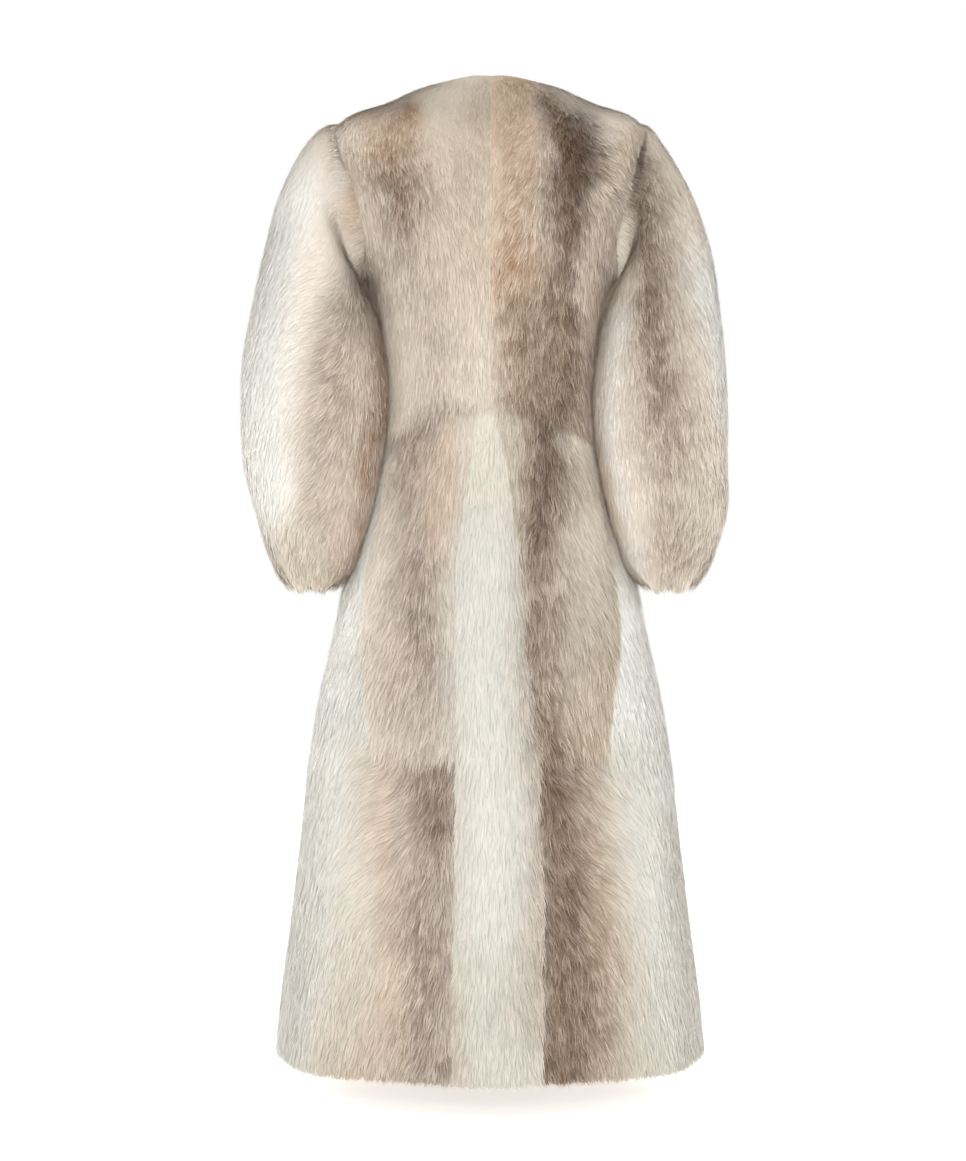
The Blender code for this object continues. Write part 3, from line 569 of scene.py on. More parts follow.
# How the hair is combed: how far it leans to the left for each unit down, in stripes of (lean, points)
combing = {
    "back_upper_left": (0.0, [
        (-0.4, [(15.6, -5, 3.0), (14.4, -12, 2.4)]),
        (-0.25, [(6.0, -4, 5.0), (4.0, -14, 4.0)]),
    ]),
    "back_upper_right": (0.05, [
        (0.5, [(-3.0, -2, 2.4), (-3.0, -17, 2.0)]),
        (-0.2, [(-8.4, -36, 2.4), (-8.8, -28, 2.0)]),
        (-1.8, [(-14.0, -1, 2.2), (-14.4, -8, 2.2)]),
        (-0.3, [(-13.6, -14, 1.6), (-12.6, -30, 1.6)]),
    ]),
    "back_middle_left": (0.10, [
        (0.22, [(11.4, -40, 3.0), (12.0, -74, 3.5)]),
        (-0.2, [(6.6, -48, 1.8), (5.2, -62, 1.8)]),
    ]),
    "back_middle_right": (0.0, [
        (0.28, [(-5.0, -38, 1.4), (-5.4, -50, 1.4)]),
        (-0.4, [(-11.4, -38, 2.0), (-12.4, -60, 2.6)]),
        (-0.2, [(-8.8, -66, 1.8), (-8.8, -76, 1.8)]),
    ]),
    "skirt_left": (0.15, [
        (2.2, [(14.4, -77, 2.2), (11.6, -84, 2.4)]),
        (1.3, [(15.6, -88, 2.6), (13.4, -94, 2.4)]),
        (0.4, [(12.0, -100, 4.0), (11.0, -108, 4.0)]),
        (-0.2, [(5.0, -76, 0.8), (4.8, -116, 0.8)]),
    ]),
    "skirt_right": (-0.12, [
        (-1.2, [(-11.0, -78, 2.4), (-15.6, -84, 3.0)]),
        (-1.4, [(-12.4, -88, 3.0), (-14.0, -92, 3.0)]),
        (-0.8, [(-12.0, -96, 2.4), (-13.4, -100, 2.4)]),
        (-0.4, [(-14.0, -106, 2.6), (-14.4, -110, 2.6)]),
    ]),
    "back_centre_gore": (0.0, [
        (0.10, [(3.6, -50, 1.4), (4.2, -115, 1.4)]),
        (-0.16, [(-4.6, -50, 1.4), (-5.4, -115, 1.4)]),
    ]),
    "sleeve_left": (0.12, [
        (0.5, [(18.5, -10, 2.0), (17.8, -18, 2.0)]),
        (1.9, [(21.0, -17, 2.0), (21.2, -31, 2.8)]),
        (0.85, [(20.8, -35, 2.8), (21.0, -46, 2.8)]),
    ]),
    "sleeve_right": (0.0, [
        (-0.35, [(-25.5, -6, 3.0), (-26.4, -30, 2.6)]),
        (0.3, [(-24.6, -44, 1.8), (-24.0, -52, 1.8)]),
    ]),
    "front_upper": (0.10, []),
    "front_skirt": (0.10, []),
}

hairLengths = {"back_upper": 0.021, "back_middle": 0.024, "back_lower": 0.025, "back_centre": 0.025,
               "side": 0.024, "front": 0.022, "sleeve": 0.019}

shoulderHair = {"less": 0.45, "startsZ": -0.14, "over": 0.12}
cuffHair = 0.75  # of the sleeve's length
frontDensity = 0.78  # of the back's hair
seamLean = 0.025  # how far from the centre seam the hair of the upper back takes to lean

view = {"x": 0.0084, "y": 3.5, "z": -0.5544, "lens": 90.4, "film": 36.0}  # where the coat is seen from
stripeFade = 0.7  # how sharply a stripe ends at its half width
wander = {"reach": 0.28, "every": 5.5}  # how far a stripe's edge strays, and how often, in centimetres
ripples = ((1.0, 1.0, 0.9), (0.6, 2.3, -2.1))  # the height, rate and slant of each wave in that edge


def asSeen(points):  # places on the plane through the coat's middle, in centimetres, for both front and back
    share = view["y"] / (view["y"] - np.abs(points[..., 1]))
    return np.stack([view["x"] + (points[..., 0] - view["x"]) * share,
                     view["z"] + (points[..., 2] - view["z"]) * share], axis=-1) * 100


def stripeCover(seen, stripe):  # how much a stripe covers each place, from 0 to 1
    cover = np.zeros(seen.shape[:-1])
    for near, far in zip(stripe[:-1], stripe[1:]):
        start, run = np.array(near[:2]), np.array(far[:2]) - np.array(near[:2])
        part = np.clip(((seen - start) @ run) / (run @ run), 0, 1)
        away = np.linalg.norm(seen - start - part[..., None] * run, axis=-1)
        halfWidth = near[2] + (far[2] - near[2]) * part
        cover = np.maximum(cover, np.exp(-stripeFade * (away / halfWidth) ** 2))
    return cover


def linear(colour):
    share = np.array(colour) / 255
    return np.where(share < 0.04045, share / 12.92, ((share + 0.055) / 1.055) ** 2.4)


def designName(name):  # the halves of a sleeve share a design, as do the side and the lower back
    if name.startswith("front"):
        return name.rsplit("_", 1)[0]
    for start, shared in (("sleeve", "sleeve_"), ("side", "skirt_"), ("back_lower", "skirt_")):
        if name.startswith(start):
            return shared + name.rsplit("_", 1)[1]
    return name


def layStripes(seen, ground, stripes):
    value = np.zeros(seen.shape[:-1] + np.shape(ground)) + ground
    for laid, strength, stripe in stripes:
        cover = strength * stripeCover(seen, stripe)
        value += cover.reshape(cover.shape + (1,) * np.ndim(ground)) * (laid - value)
    return value


def paint(name, points):  # the hair's colour and lean at each point of a piece
    design = designName(name)
    mirrored = -1 if design.startswith("front") and name.endswith("right") else 1
    seen = asSeen(points)
    across, wave = seen[..., 0].copy(), seen[..., 1] * 2 * math.pi / wander["every"]
    stray = sum(height * np.sin(rate * wave + slant * across) for height, rate, slant in ripples)
    seen[..., 0] = (across + wander["reach"] * stray) * mirrored
    ground, stripes = dyeAndPaintedLight[design]
    stripes = [(linear(hairColours[colour]), strength, stripe) for colour, strength, stripe in stripes]
    colour = layStripes(seen, linear(hairColours[ground]), stripes)
    ground, stripes = combing[design]
    lean = layStripes(seen, ground, [(leaning, 1, stripe) for leaning, stripe in stripes])
    if name.startswith("back_upper"):  # straight down beside the centre seam, so that the seam shows
        lean *= np.clip(np.abs(points[..., 0]) / seamLean, 0, 1)
    return colour, lean * mirrored


def pullIn(points):  # draws a grid's edges in, so that neighbours stay apart
    for edge, beside in (((0,), (1,)), ((-1,), (-2,)), ((slice(None), 0), (slice(None), 1)),
                         ((slice(None), -1), (slice(None), -2))):
        points[edge] += wall["gap"] * unit(points[beside] - points[edge])


def addMesh(name, points, faces, materials, slots=None):
    mesh = bpy.data.meshes.new(name)
    mesh.from_pydata(points.tolist(), [], faces)
    for material in materials:
        mesh.materials.append(material)
    if slots is not None:
        mesh.polygons.foreach_set("material_index", slots)
    mesh.update()
    made = bpy.data.objects.new(name, mesh)
    bpy.context.scene.collection.objects.link(made)
    return made


def setAttribute(made, name, values):  # its kind follows from how many numbers each point has
    values = np.asarray(values, np.float32).ravel()
    kind, field = {1: ("FLOAT", "value"), 3: ("FLOAT_VECTOR", "vector"),
                   4: ("FLOAT_COLOR", "color")}[len(values) // len(made.data.vertices)]
    made.data.attributes.new(name, kind, "POINT").data.foreach_set(field, values)


def setColour(made, colour):
    colour = colour.reshape(-1, 3)
    setAttribute(made, "furColour", np.c_[colour, np.ones(len(colour))])


def gridFaces(rows, columns, start=0):
    at = np.arange(rows * columns).reshape(rows, columns) + start
    return [[int(k) for k in (at[r, c], at[r, c + 1], at[r + 1, c + 1], at[r + 1, c])]
            for r in range(rows - 1) for c in range(columns - 1)]


def gridArea(points):
    across, along = np.diff(points, axis=1)[:-1], np.diff(points, axis=0)[:, :-1]
    return float(np.linalg.norm(np.cross(across, along), axis=-1).sum())


def windsOutwards(points, normal):
    across, along = points[1, 1] - points[1, 0], points[1, 0] - points[0, 0]
    return np.dot(np.cross(along, across), normal[1, 1]) > 0


def bedDepth(panel):  # how deep the skin of the wool lies under the tips of the hair
    return wall["bed"] * panel["thickness"] / wallThickness


sharpFrom = 50  # degrees between two faces


def makeHide(name, panel, suede, wool):  # one closed wall: suede inside, the root of the wool outside
    outer = panel["top"] - bedDepth(panel)[..., None] * panel["normal"]
    inner = panel["surface"] - panel["thickness"][..., None] * panel["normal"]
    pullIn(outer)
    pullIn(inner)
    rows, columns = outer.shape[:2]
    if not windsOutwards(outer, panel["normal"]):
        outer, inner = outer[:, ::-1], inner[:, ::-1]
    at = np.arange(rows * columns).reshape(rows, columns)
    behind = rows * columns
    outside = gridFaces(rows, columns)
    inside = [face[::-1] for face in gridFaces(rows, columns, behind)]
    loop = ([at[0, c] for c in range(columns)] + [at[r, -1] for r in range(1, rows)]
            + [at[-1, c] for c in range(columns - 2, -1, -1)] + [at[r, 0] for r in range(rows - 2, 0, -1)])
    rim = [[int(k) for k in (a, b, b + behind, a + behind)] for a, b in zip(loop, loop[1:] + loop[:1])]
    points = np.concatenate([outer.reshape(-1, 3), inner.reshape(-1, 3)])
    slots = [0] * len(outside) + [1] * len(inside) + [0] * len(rim)
    hide = addMesh("hide_" + name, points, outside + inside + rim, [wool, suede], slots)
    setColour(hide, paint(name, points)[0])
    outwards(hide)
    hide.data.shade_smooth()
    hide.data.set_sharp_from_angle(angle=math.radians(sharpFrom))
    return hide


def outwards(made):
    shape = bmesh.new()
    shape.from_mesh(made.data)
    bmesh.ops.recalc_face_normals(shape, faces=shape.faces[:])
    shape.to_mesh(made.data)
    shape.free()


def hairLength(name, panel):  # shorter on the shoulders and at the cuff, and it ends at the hem
    length = next(value for key, value in hairLengths.items() if name.startswith(key))
    length = length * np.clip(panel["thickness"] / wallThickness, cuffHair, 1)
    height = panel["top"][..., 2]
    onShoulders = ease((height - shoulderHair["startsZ"]) / shoulderHair["over"])
    length = length * (1 - shoulderHair["less"] * onShoulders)
    return np.minimum(length, np.maximum(height - hemZ, openEdges["hem"]))


# From the lightness of a place: how dark it counts, how pale its tips are, and how far the hair stands up
lightShares = (0.21, 0.72, 0.07)
contrastFrom = {"lightest": 0.88, "span": 0.42, "least": 0.10}
tipsFrom = {"darkest": 0.28, "slope": 1.6, "share": 1.15, "least": 0.05, "most": 0.62}
liftFrom = {"fullLength": 0.020, "least": 0.35, "pale": 0.75, "more": 0.55}
neckHair = {"tilt": 0.3, "over": 0.9, "down": 0.3, "length": 0.5}  # it stands on the rim and falls outwards


def makeBed(name, panel):  # an open grid at the hair's roots, with everything that a hair needs to know
    top, normal = panel["top"], panel["normal"]
    roots = top - bedDepth(panel)[..., None] * normal
    downhill = unit(np.gradient(top, axis=0))
    if not name.startswith("sleeve"):
        downhill = unit(np.array([0, 0, -1.0]) + normal * normal[..., 2:])
    colour, lean = paint(name, top)
    sideways = np.array([1.0, 0, 0]) - normal * normal[..., :1]
    comb = unit(downhill + lean[..., None] * sideways)
    length = hairLength(name, panel)
    if name.startswith(("back_upper", "front_upper")):  # the rim of the neck
        inner = panel["surface"][:1] - panel["thickness"][:1, :, None] * normal[:1]
        rise = unit(normal[:1] * neckHair["tilt"] - downhill[:1])
        over = unit(normal[:1] * neckHair["over"] + downhill[:1] * neckHair["down"])
        pairs = (inner, roots), (rise, normal), (over, comb)
        roots, normal, comb = (np.concatenate(pair) for pair in pairs)
        colour, length = (np.concatenate([values[:1], values]) for values in (colour, length))
        length[0] *= neckHair["length"]
    elif not name.startswith("back_middle"):  # the rim of a hem or cuff: hair hangs on past it
        inner = (panel["surface"] - panel["thickness"][..., None] * normal)[-1:]
        roots = np.concatenate([roots, inner])
        normal, comb, colour, length = (np.concatenate([values, values[-1:]])
                                        for values in (normal, comb, colour, length))
    rows, columns = roots.shape[:2]
    faces = gridFaces(rows, columns)
    if not windsOutwards(roots[1:], normal[1:]):
        faces = [face[::-1] for face in faces]
    flat = roots.reshape(-1, 3)
    bed = addMesh("bed_" + name, flat, faces, [])
    light = (colour @ np.array(lightShares)) ** (1 / 2.2)
    contrast = np.clip((contrastFrom["lightest"] - light) / contrastFrom["span"], contrastFrom["least"], 1.0)
    paleTips = np.minimum(tipsFrom["slope"] * (light - tipsFrom["darkest"]), tipsFrom["share"] * contrast)
    raised = np.clip(length / liftFrom["fullLength"], liftFrom["least"], 1.0)
    setColour(bed, colour)
    facts = {"comb": comb, "rise": normal, "hairLength": length,
             "lift": wall["bed"] * raised * (liftFrom["pale"] + liftFrom["more"] * contrast),
             "contrast": contrast, "paleTips": np.clip(paleTips, tipsFrom["least"], tipsFrom["most"])}
    for fact, values in facts.items():
        setAttribute(bed, fact, values)
    return bed


# Two kinds of hair: one flat triangle for the undercoat, and a kite of two that rises and then lies down
hairKinds = {
    # how many to a square metre, their width, and their share of the piece's own hair length and height, each
    # as the least, the most and the seed of the draw
    "under": {"density": 250000.0, "width": 0.0014, "length": (0.60, 0.95, 15), "height": (0.40, 0.70, 17),
              "seed": 0},
    "guard": {"density": 150000.0, "width": 0.0011, "length": (0.70, 1.15, 15), "height": (0.80, 1.15, 17),
              "seed": 20},
}
guardBend = {"at": 0.42, "lift": 0.66}

# How hairs of one kind differ: in tone, in turn and in share of their width
spread = {"tone": (-1.0, 1.0, 3), "yaw": (-0.22, 0.22, 5), "tilt": (-0.10, 0.12, 7), "roll": (-0.6, 0.6, 9),
          "width": (0.7, 1.3, 13)}

# Hairs lean together in fine strands, and strands in locks. Each name is an input of the fur's node group.
fur = {"Strand size": 0.0042, "Strand pull": 0.65, "Lock size": 0.013, "Lock pull": 0.22, "Swirl": 0.30,
       "Swirl size": 0.05, "Wave": 0.016, "Wave size": 0.013}
furSeed = 11
swirlGain = 4.0
straying = {"pale": 0.15, "more": 0.85}  # how unruly pale hair is, and how much more the darkest is
gathering = {"power": 1.3, "pale": 0.35, "more": 0.8}  # how the pull to a strand grows along a hair
wavePower = 0.7
bakeMargin = 0.1  # of each hair's own square in the map for baking


def makeHair(name):
    if name == "under":
        points, faces = [(-0.5, 0, 0), (0.5, 0, 0), (0, 1, 1)], [[0, 1, 2]]
    else:
        at, lift = guardBend["at"], guardBend["lift"]
        points, faces = [(0, 0, 0), (-0.5, at, lift), (0.5, at, lift), (0, 1, 1)], [[0, 2, 1], [1, 2, 3]]
    points = np.array(points)
    made = addMesh(name + "Hair", points, faces, [])
    setAttribute(made, "along", points[:, 1])
    setAttribute(made, "bladePlace", points * (1, 1, 0) + (0.5, 0, 0))
    return made


class NodeMaker:  # adds nodes to one tree; an input is a plain value or another node's output
    def __init__(self, tree):
        self.tree = tree

    def plug(self, value, socket):
        if isinstance(value, bpy.types.NodeSocket):
            self.tree.links.new(value, socket)
        else:
            socket.default_value = value

    def add(self, kind, inputs=(), **settings):
        made = self.tree.nodes.new(kind)
        for name, value in settings.items():
            setattr(made, name, value)
        for socket, value in dict(inputs).items():
            self.plug(value, made.inputs[socket])
        return made

    def maths(self, operation, *values):
        return self.add("ShaderNodeMath", dict(enumerate(values)), operation=operation).outputs[0]

    def times(self, *values):
        return self.maths("MULTIPLY", *values)

    def timesPlus(self, *values):
        return self.maths("MULTIPLY_ADD", *values)

    def plus(self, *values):
        return self.maths("ADD", *values)

    def minus(self, *values):
        return self.maths("SUBTRACT", *values)

    def over(self, *values):
        return self.maths("DIVIDE", *values)

    def vector(self, operation, *values):
        made = self.add("ShaderNodeVectorMath", dict(enumerate(values)), operation=operation)
        return made.outputs["Value" if operation == "DOT_PRODUCT" else "Vector"]

    def scaled(self, vector, scale):
        return self.add("ShaderNodeVectorMath", {0: vector, "Scale": scale}, operation="SCALE").outputs[0]

    def combined(self, *values):
        return self.add("ShaderNodeCombineXYZ", dict(enumerate(values))).outputs[0]

    def separated(self, vector):
        return self.add("ShaderNodeSeparateXYZ", {0: vector}).outputs

    def noise(self, place, scale, detail=2.0):
        return self.add("ShaderNodeTexNoise", {"Vector": place, "Scale": scale, "Detail": detail}).outputs[0]

    def mixed(self, part, first, second):
        return self.add("ShaderNodeMix", {0: part, 6: first, 7: second}, data_type="RGBA").outputs[2]

    def read(self, name, kind="FLOAT"):
        made = self.add("GeometryNodeInputNamedAttribute", {"Name": name}, data_type=kind)
        return made.outputs["Attribute"]

    def store(self, geometry, name, value, kind="FLOAT", domain="POINT"):
        made = self.add("GeometryNodeStoreNamedAttribute", {"Geometry": geometry, "Name": name},
                        data_type=kind, domain=domain)
        self.plug(value, made.inputs["Value"])
        return made.outputs["Geometry"]

    def draw(self, about, shift):
        low, high, seed = about
        made = self.add("FunctionNodeRandomValue", {2: low, 3: high, "Seed": seed + shift}, data_type="FLOAT")
        return made.outputs[1]

    def attribute(self, name, output="Fac"):
        return self.add("ShaderNodeAttribute", attribute_name=name).outputs[output]


def cellsAround(nodes, place, size):  # the way to the middle of the nearest cell, and that cell's own tone
    cells = nodes.add("ShaderNodeTexVoronoi", {"Vector": place, "Scale": nodes.over(1.0, size)}).outputs
    return nodes.vector("SUBTRACT", cells["Position"], place), nodes.separated(cells["Color"])[0]


def plantHairs(nodes, given, kind, firstNumber):  # one kind of hair on the bed, and how many there are
    about = hairKinds[kind]
    shift = about["seed"]
    scatter = nodes.add("GeometryNodeDistributePointsOnFaces",
                        {"Mesh": given["Bed"], "Density": given["Density of " + kind],
                         "Seed": nodes.plus(given["Seed"], float(shift))}, distribute_method="RANDOM")
    points = scatter.outputs["Points"]
    place = nodes.add("GeometryNodeInputPosition").outputs[0]
    rise, comb = nodes.read("rise", "FLOAT_VECTOR"), nodes.read("comb", "FLOAT_VECTOR")

    toStrand, strandTone = cellsAround(nodes, place, given["Strand size"])
    toLock, lockTone = cellsAround(nodes, place, given["Lock size"])
    pull = nodes.vector("ADD", nodes.scaled(toStrand, given["Strand pull"]),
                        nodes.scaled(toLock, given["Lock pull"]))
    standing = nodes.scaled(rise, nodes.vector("DOT_PRODUCT", pull, rise))
    index = nodes.add("GeometryNodeInputIndex").outputs[0]
    for name, value in (("lock", lockTone), ("strand", strandTone),
                        ("hair", nodes.draw(spread["tone"], shift)),
                        ("hairNumber", nodes.plus(index, firstNumber))):
        points = nodes.store(points, name, value)
    for name, value in (("pull", nodes.vector("SUBTRACT", pull, standing)),
                        ("aside", nodes.vector("CROSS_PRODUCT", comb, rise))):
        points = nodes.store(points, name, value, "FLOAT_VECTOR")

    combed = nodes.add("FunctionNodeAxesToRotation", {"Primary Axis": comb, "Secondary Axis": rise},
                       primary_axis="Y", secondary_axis="Z").outputs[0]
    drift = nodes.noise(place, nodes.over(1.0, given["Swirl size"]))
    swirl = nodes.times(nodes.minus(drift, 0.5), nodes.times(given["Swirl"], swirlGain))
    unruly = nodes.timesPlus(nodes.read("contrast"), straying["more"], straying["pale"])
    yaw = nodes.plus(swirl, nodes.draw(spread["yaw"], shift))
    turns = (nodes.draw(spread["tilt"], shift), nodes.draw(spread["roll"], shift), yaw)
    astray = nodes.combined(*(nodes.times(turn, unruly) for turn in turns))
    astray = nodes.add("FunctionNodeEulerToRotation", {0: astray}).outputs[0]
    turned = nodes.add("FunctionNodeRotateRotation", {"Rotation": combed, "Rotate By": astray},
                       rotation_space="LOCAL").outputs[0]
    sizes = ((given["Width of " + kind], spread["width"]), (nodes.read("hairLength"), about["length"]),
             (nodes.read("lift"), about["height"]))
    size = nodes.combined(*(nodes.times(full, nodes.draw(share, shift)) for full, share in sizes))
    blade = nodes.add("GeometryNodeObjectInfo", {"Object": given["Hair of " + kind]}).outputs["Geometry"]
    planted = nodes.add("GeometryNodeInstanceOnPoints",
                        {"Points": points, "Instance": blade, "Rotation": turned, "Scale": size})
    real = nodes.add("GeometryNodeRealizeInstances", {"Geometry": planted.outputs["Instances"]}).outputs[0]
    count = nodes.add("GeometryNodeAttributeDomainSize", {"Geometry": points}, component="POINTCLOUD")
    return real, count.outputs["Point Count"]


def makeFurTree():
    tree = bpy.data.node_groups.new("growFur", "GeometryNodeTree")
    sockets = {"Bed": "Geometry", **dict.fromkeys(fur, "Float"), "Seed": "Int", "Material": "Material"}
    for kind in hairKinds:
        for word, socket in (("Hair", "Object"), ("Density", "Float"), ("Width", "Float")):
            sockets[word + " of " + kind] = socket
    for name, kind in sockets.items():
        tree.interface.new_socket(name, in_out="INPUT", socket_type="NodeSocket" + kind)
    tree.interface.new_socket("Fur", in_out="OUTPUT", socket_type="NodeSocketGeometry")
    nodes = NodeMaker(tree)
    given = nodes.add("NodeGroupInput").outputs
    under, underCount = plantHairs(nodes, given, "under", 0.0)
    guard, guardCount = plantHairs(nodes, given, "guard", underCount)
    both = nodes.add("GeometryNodeJoinGeometry")
    for hairs in (guard, under):
        tree.links.new(hairs, both.inputs[0])

    along, contrast = nodes.read("along"), nodes.read("contrast")
    strength = nodes.times(nodes.maths("POWER", along, gathering["power"]),
                           nodes.timesPlus(contrast, gathering["more"], gathering["pale"]))
    place = nodes.add("GeometryNodeInputPosition").outputs[0]
    ripple = nodes.noise(place, nodes.over(1.0, given["Wave size"]), 1.0)
    bend = nodes.times(nodes.minus(ripple, 0.5), given["Wave"])
    bend = nodes.times(bend, nodes.timesPlus(contrast, straying["more"], straying["pale"]))
    bend = nodes.times(bend, nodes.maths("POWER", along, wavePower))
    towards = nodes.vector("ADD", nodes.scaled(nodes.read("pull", "FLOAT_VECTOR"), strength),
                           nodes.scaled(nodes.read("aside", "FLOAT_VECTOR"), bend))
    moved = nodes.add("GeometryNodeSetPosition", {"Geometry": both.outputs[0], "Offset": towards}).outputs[0]

    # Each hair has its own square in the map for baking, row by row
    perRow = nodes.maths("CEIL", nodes.maths("SQRT", nodes.plus(underCount, guardCount)))
    number = nodes.read("hairNumber")
    corner = nodes.maths("MODULO", number, perRow), nodes.maths("FLOOR", nodes.over(number, perRow))
    within = nodes.separated(nodes.read("bladePlace", "FLOAT_VECTOR"))
    inSquare = [nodes.timesPlus(part, 1 - 2 * bakeMargin, bakeMargin) for part in within[:2]]
    places = [nodes.over(nodes.plus(start, part), perRow) for start, part in zip(corner, inSquare)]
    mapped = nodes.store(moved, "OFBake", nodes.combined(*places), "FLOAT2", "CORNER")
    finish = nodes.add("GeometryNodeSetMaterial", {"Geometry": mapped, "Material": given["Material"]})
    nodes.add("NodeGroupOutput", {0: finish.outputs[0]})
    return tree


def growFur(name, bed, tree, values):
    modifier = bed.modifiers.new("fur", "NODES")
    modifier.node_group = tree
    for item in tree.interface.items_tree:
        if item.in_out == "INPUT" and item.name in values:
            modifier[item.identifier] = values[item.name]
    graph = bpy.context.evaluated_depsgraph_get()
    grown = bed.evaluated_get(graph)
    mesh = bpy.data.meshes.new_from_object(grown, preserve_all_data_layers=True, depsgraph=graph)
    bpy.data.objects.remove(bed)
    mesh.name = "fur_" + name
    made = bpy.data.objects.new("fur_" + name, mesh)
    bpy.context.scene.collection.objects.link(made)
    return made


# What the hair, the wool and the suede look like
furTone = {"paleTip": (218, 206, 192), "darkShare": 0.50, "rootShade": 0.40, "rootPower": 0.5,
           "middle": 0.44, "hair": 0.20}
toneShares = {"strand": 0.75, "lock": 0.40, "along": 0.45}
furFinish = {"Roughness": 0.65, "Specular IOR Level": 0.25}
woolFinish = {"Roughness": 0.95}
suedeFinish = {"Roughness": 0.9, "Sheen Weight": 0.3}
suedeColours = ((206, 186, 160), (176, 152, 124))
woolGrain = {"stretch": (900.0, 900.0, 160.0), "detail": 3.0, "least": 0.75, "more": 0.3,
             "bump": (0.6, 0.001)}
suedeGrain = {"patches": (14.0, 4.0), "nap": (700.0, 5.0), "bump": (0.35, 0.0006)}


def opaque(colour):
    return (*linear(colour), 1.0)


def newMaterial(name, finish):
    material = bpy.data.materials.new(name)
    material.use_nodes = True
    shader = material.node_tree.nodes["Principled BSDF"]
    for socket, value in finish.items():
        shader.inputs[socket].default_value = value
    return material, NodeMaker(material.node_tree), shader.inputs


def addBump(nodes, shader, height, strength, distance):
    bump = nodes.add("ShaderNodeBump", {"Height": height, "Strength": strength, "Distance": distance})
    nodes.plug(bump.outputs[0], shader["Normal"])


def makeFurMaterial():
    material, nodes, shader = newMaterial("combedHair", furFinish)
    colour = nodes.attribute("furColour", "Color")
    contrast, along = nodes.attribute("contrast"), nodes.attribute("along")
    shaded = nodes.scaled(colour, nodes.minus(1.0, nodes.times(contrast, furTone["darkShare"])))
    tipped = nodes.mixed(nodes.attribute("paleTips"), colour, opaque(furTone["paleTip"]))
    tone = nodes.timesPlus(nodes.attribute("hair"), furTone["hair"], furTone["middle"])
    for name, share in toneShares.items():
        tone = nodes.plus(tone, nodes.times(nodes.minus(nodes.attribute(name), 0.5), share))
    toned = nodes.mixed(nodes.add("ShaderNodeClamp", {"Value": tone}).outputs[0], shaded, tipped)
    shadow = nodes.times(nodes.minus(1.0, nodes.maths("POWER", along, furTone["rootPower"])),
                         nodes.times(contrast, furTone["rootShade"]))
    nodes.plug(nodes.scaled(toned, nodes.minus(1.0, shadow)), shader["Base Color"])
    return material


def makeWoolMaterial():
    material, nodes, shader = newMaterial("woolRoots", woolFinish)
    place = nodes.add("ShaderNodeTexCoord").outputs["Object"]
    stretched = nodes.add("ShaderNodeMapping", {"Vector": place, "Scale": woolGrain["stretch"]}).outputs[0]
    grain = nodes.noise(stretched, 1.0, woolGrain["detail"])
    shade = nodes.timesPlus(grain, woolGrain["more"], woolGrain["least"])
    nodes.plug(nodes.scaled(nodes.attribute("furColour", "Color"), shade), shader["Base Color"])
    addBump(nodes, shader, grain, *woolGrain["bump"])
    return material


def makeSuedeMaterial():
    material, nodes, shader = newMaterial("suedeInside", suedeFinish)
    place = nodes.add("ShaderNodeTexCoord").outputs["Object"]
    patches, nap = nodes.noise(place, *suedeGrain["patches"]), nodes.noise(place, *suedeGrain["nap"])
    nodes.plug(nodes.mixed(patches, *(opaque(colour) for colour in suedeColours)), shader["Base Color"])
    addBump(nodes, shader, nap, *suedeGrain["bump"])
    return material


leastArea = 0.3  # of a cut piece's rectangle


def makeCoat():
    wool, suede, combed = makeWoolMaterial(), makeSuedeMaterial(), makeFurMaterial()
    tree = makeFurTree()
    blades = {kind: makeHair(kind) for kind in hairKinds}
    hides, furs, cuts = {}, {}, {}
    for order, (name, panel) in enumerate(everyPanel().items()):
        hides[name] = makeHide(name, panel, suede, wool)
        values = {**fur, "Seed": furSeed + order, "Material": combed}
        share = frontDensity if name.startswith("front") else 1
        for kind, about in hairKinds.items():
            values["Hair of " + kind] = blades[kind]
            values["Density of " + kind] = about["density"] * share
            values["Width of " + kind] = about["width"]
        furs[name] = growFur(name, makeBed(name, panel), tree, values)
        middle = panel["surface"] - 0.5 * panel["thickness"][..., None] * panel["normal"]
        wide = max(lengthAlong(row)[-1] for row in middle)
        long = max(lengthAlong(middle[:, c])[-1] for c in range(middle.shape[1]))
        cuts[name] = wide, long, float(np.clip(gridArea(middle), leastArea * wide * long, wide * long))
        size = "%.0f x %.0f mm" % (wide * 1000, long * 1000)
        print("piece", name, "cut", size, "with", len(furs[name].data.polygons), "faces of hair")
    for blade in blades.values():
        bpy.data.objects.remove(blade)
    for name, (wide, long, area) in cuts.items():
        for piece in (hides[name], furs[name]):
            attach(piece, "root")
        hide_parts(name)
    faces = sum(len(p.vertices) - 2 for o in (*hides.values(), *furs.values()) for p in o.data.polygons)
    print("coat:", len(hides), "hides and as many furs,", faces, "triangles")


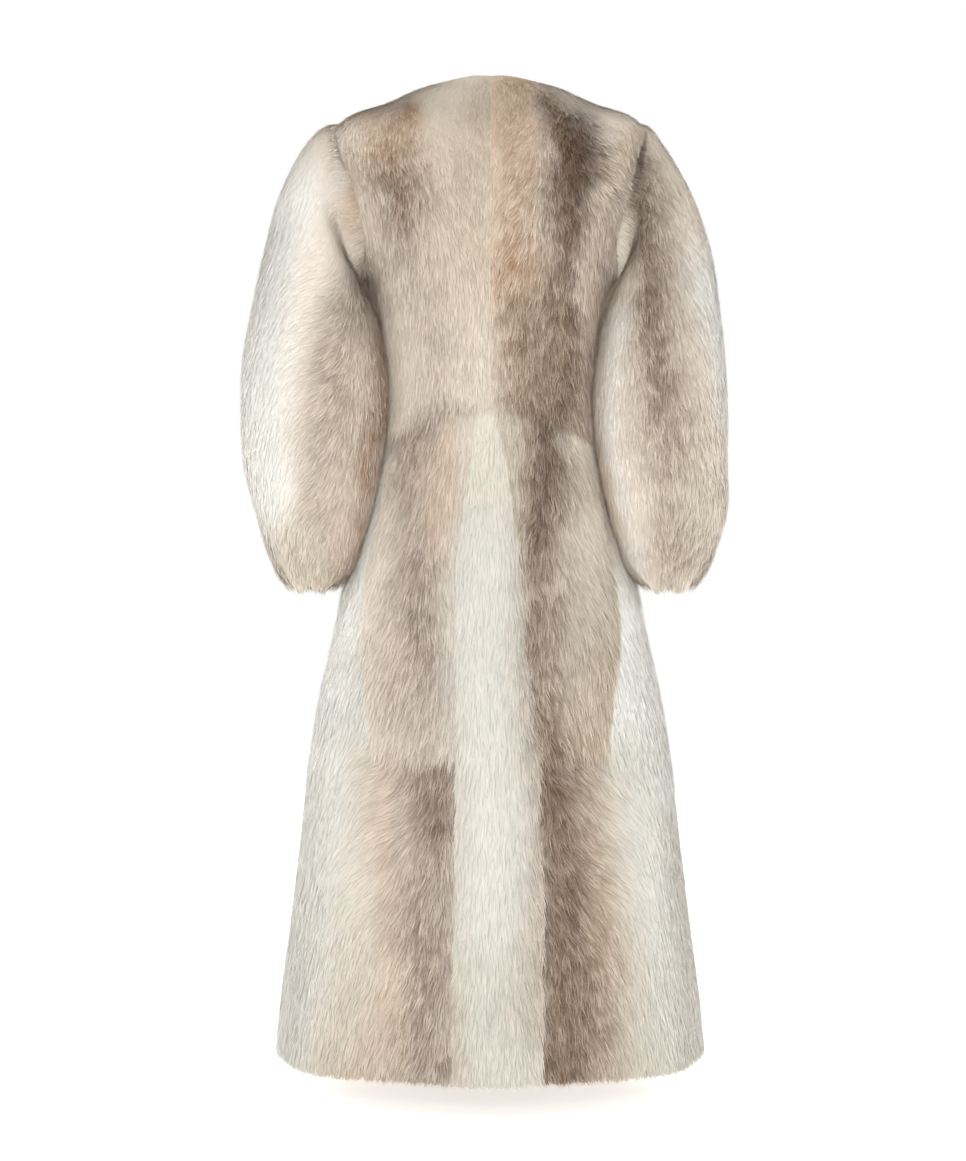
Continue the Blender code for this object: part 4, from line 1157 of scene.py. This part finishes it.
stage = {"floorZ": -1.165, "radius": 9.0, "corners": 96, "floor": (250, 250, 249), "glow": 0.57,
         "light": 0.48, "backdrop": 1.0}
lampTarget = (0, 0, -0.55)
lamps = {
    # name: (place, size, power)
    "backKey": ((0.2, 4.4, 0.1), 1.4, 105.0),
    "backFill": ((-0.3, 4.4, -0.8), 1.4, 49.0),
    "leftRim": ((3.8, -0.6, 0.2), 2.4, 68.0),
    "rightRim": ((-3.8, -0.6, 0.2), 2.4, 68.0),
    "frontKey": ((-0.6, -4.6, 0.6), 2.4, 108.0),
    "frontFill": ((1.6, -4.2, -0.2), 2.6, 42.0),
}


def makeStage():
    turns = np.linspace(0, 2 * math.pi, stage["corners"] + 1)[:-1]
    rim = np.stack([stage["radius"] * np.cos(turns), stage["radius"] * np.sin(turns),
                    np.full(len(turns), stage["floorZ"])], axis=1)
    finish = {"Base Color": opaque(stage["floor"]), "Roughness": 0.9, "Emission Color": (1.0, 1.0, 1.0, 1.0),
              "Emission Strength": stage["glow"]}
    addMesh("floor", rim, [list(range(len(turns)))], [newMaterial("paleFloor", finish)[0]])
    bpy.context.scene.view_settings.view_transform = "Standard"
    world = bpy.data.worlds.new("studio")
    world.use_nodes = True
    nodes, background = NodeMaker(world.node_tree), world.node_tree.nodes["Background"].inputs
    background["Color"].default_value = (1.0, 1.0, 1.0, 1.0)
    seen = nodes.add("ShaderNodeLightPath").outputs["Is Camera Ray"]  # a white backdrop, and a softer light
    strength = nodes.timesPlus(seen, stage["backdrop"] - stage["light"], stage["light"])
    nodes.plug(strength, background["Strength"])
    bpy.context.scene.world = world


def aim(made, target):
    direction = np.array(target) - np.array(made.location)
    made.rotation_euler = Vector(direction).to_track_quat("-Z", "Y").to_euler()


def makeLamps():
    for name, (place, size, power) in lamps.items():
        data = bpy.data.lights.new(name, "AREA")
        data.size, data.energy = size, power
        lamp = bpy.data.objects.new(name, data)
        lamp.location = place
        aim(lamp, lampTarget)
        bpy.context.scene.collection.objects.link(lamp)


def makeCamera():
    data = bpy.data.cameras.new("camera")
    data.lens, data.sensor_width = view["lens"], view["film"]
    camera = bpy.data.objects.new("camera", data)
    camera.location = (view["x"], view["y"], view["z"])
    camera.rotation_euler = (math.radians(90), 0, math.radians(180))
    bpy.context.scene.collection.objects.link(camera)
    bpy.context.scene.camera = camera


makeCoat()
makeStage()
makeLamps()
makeCamera()
print("stage, lamps and camera set")
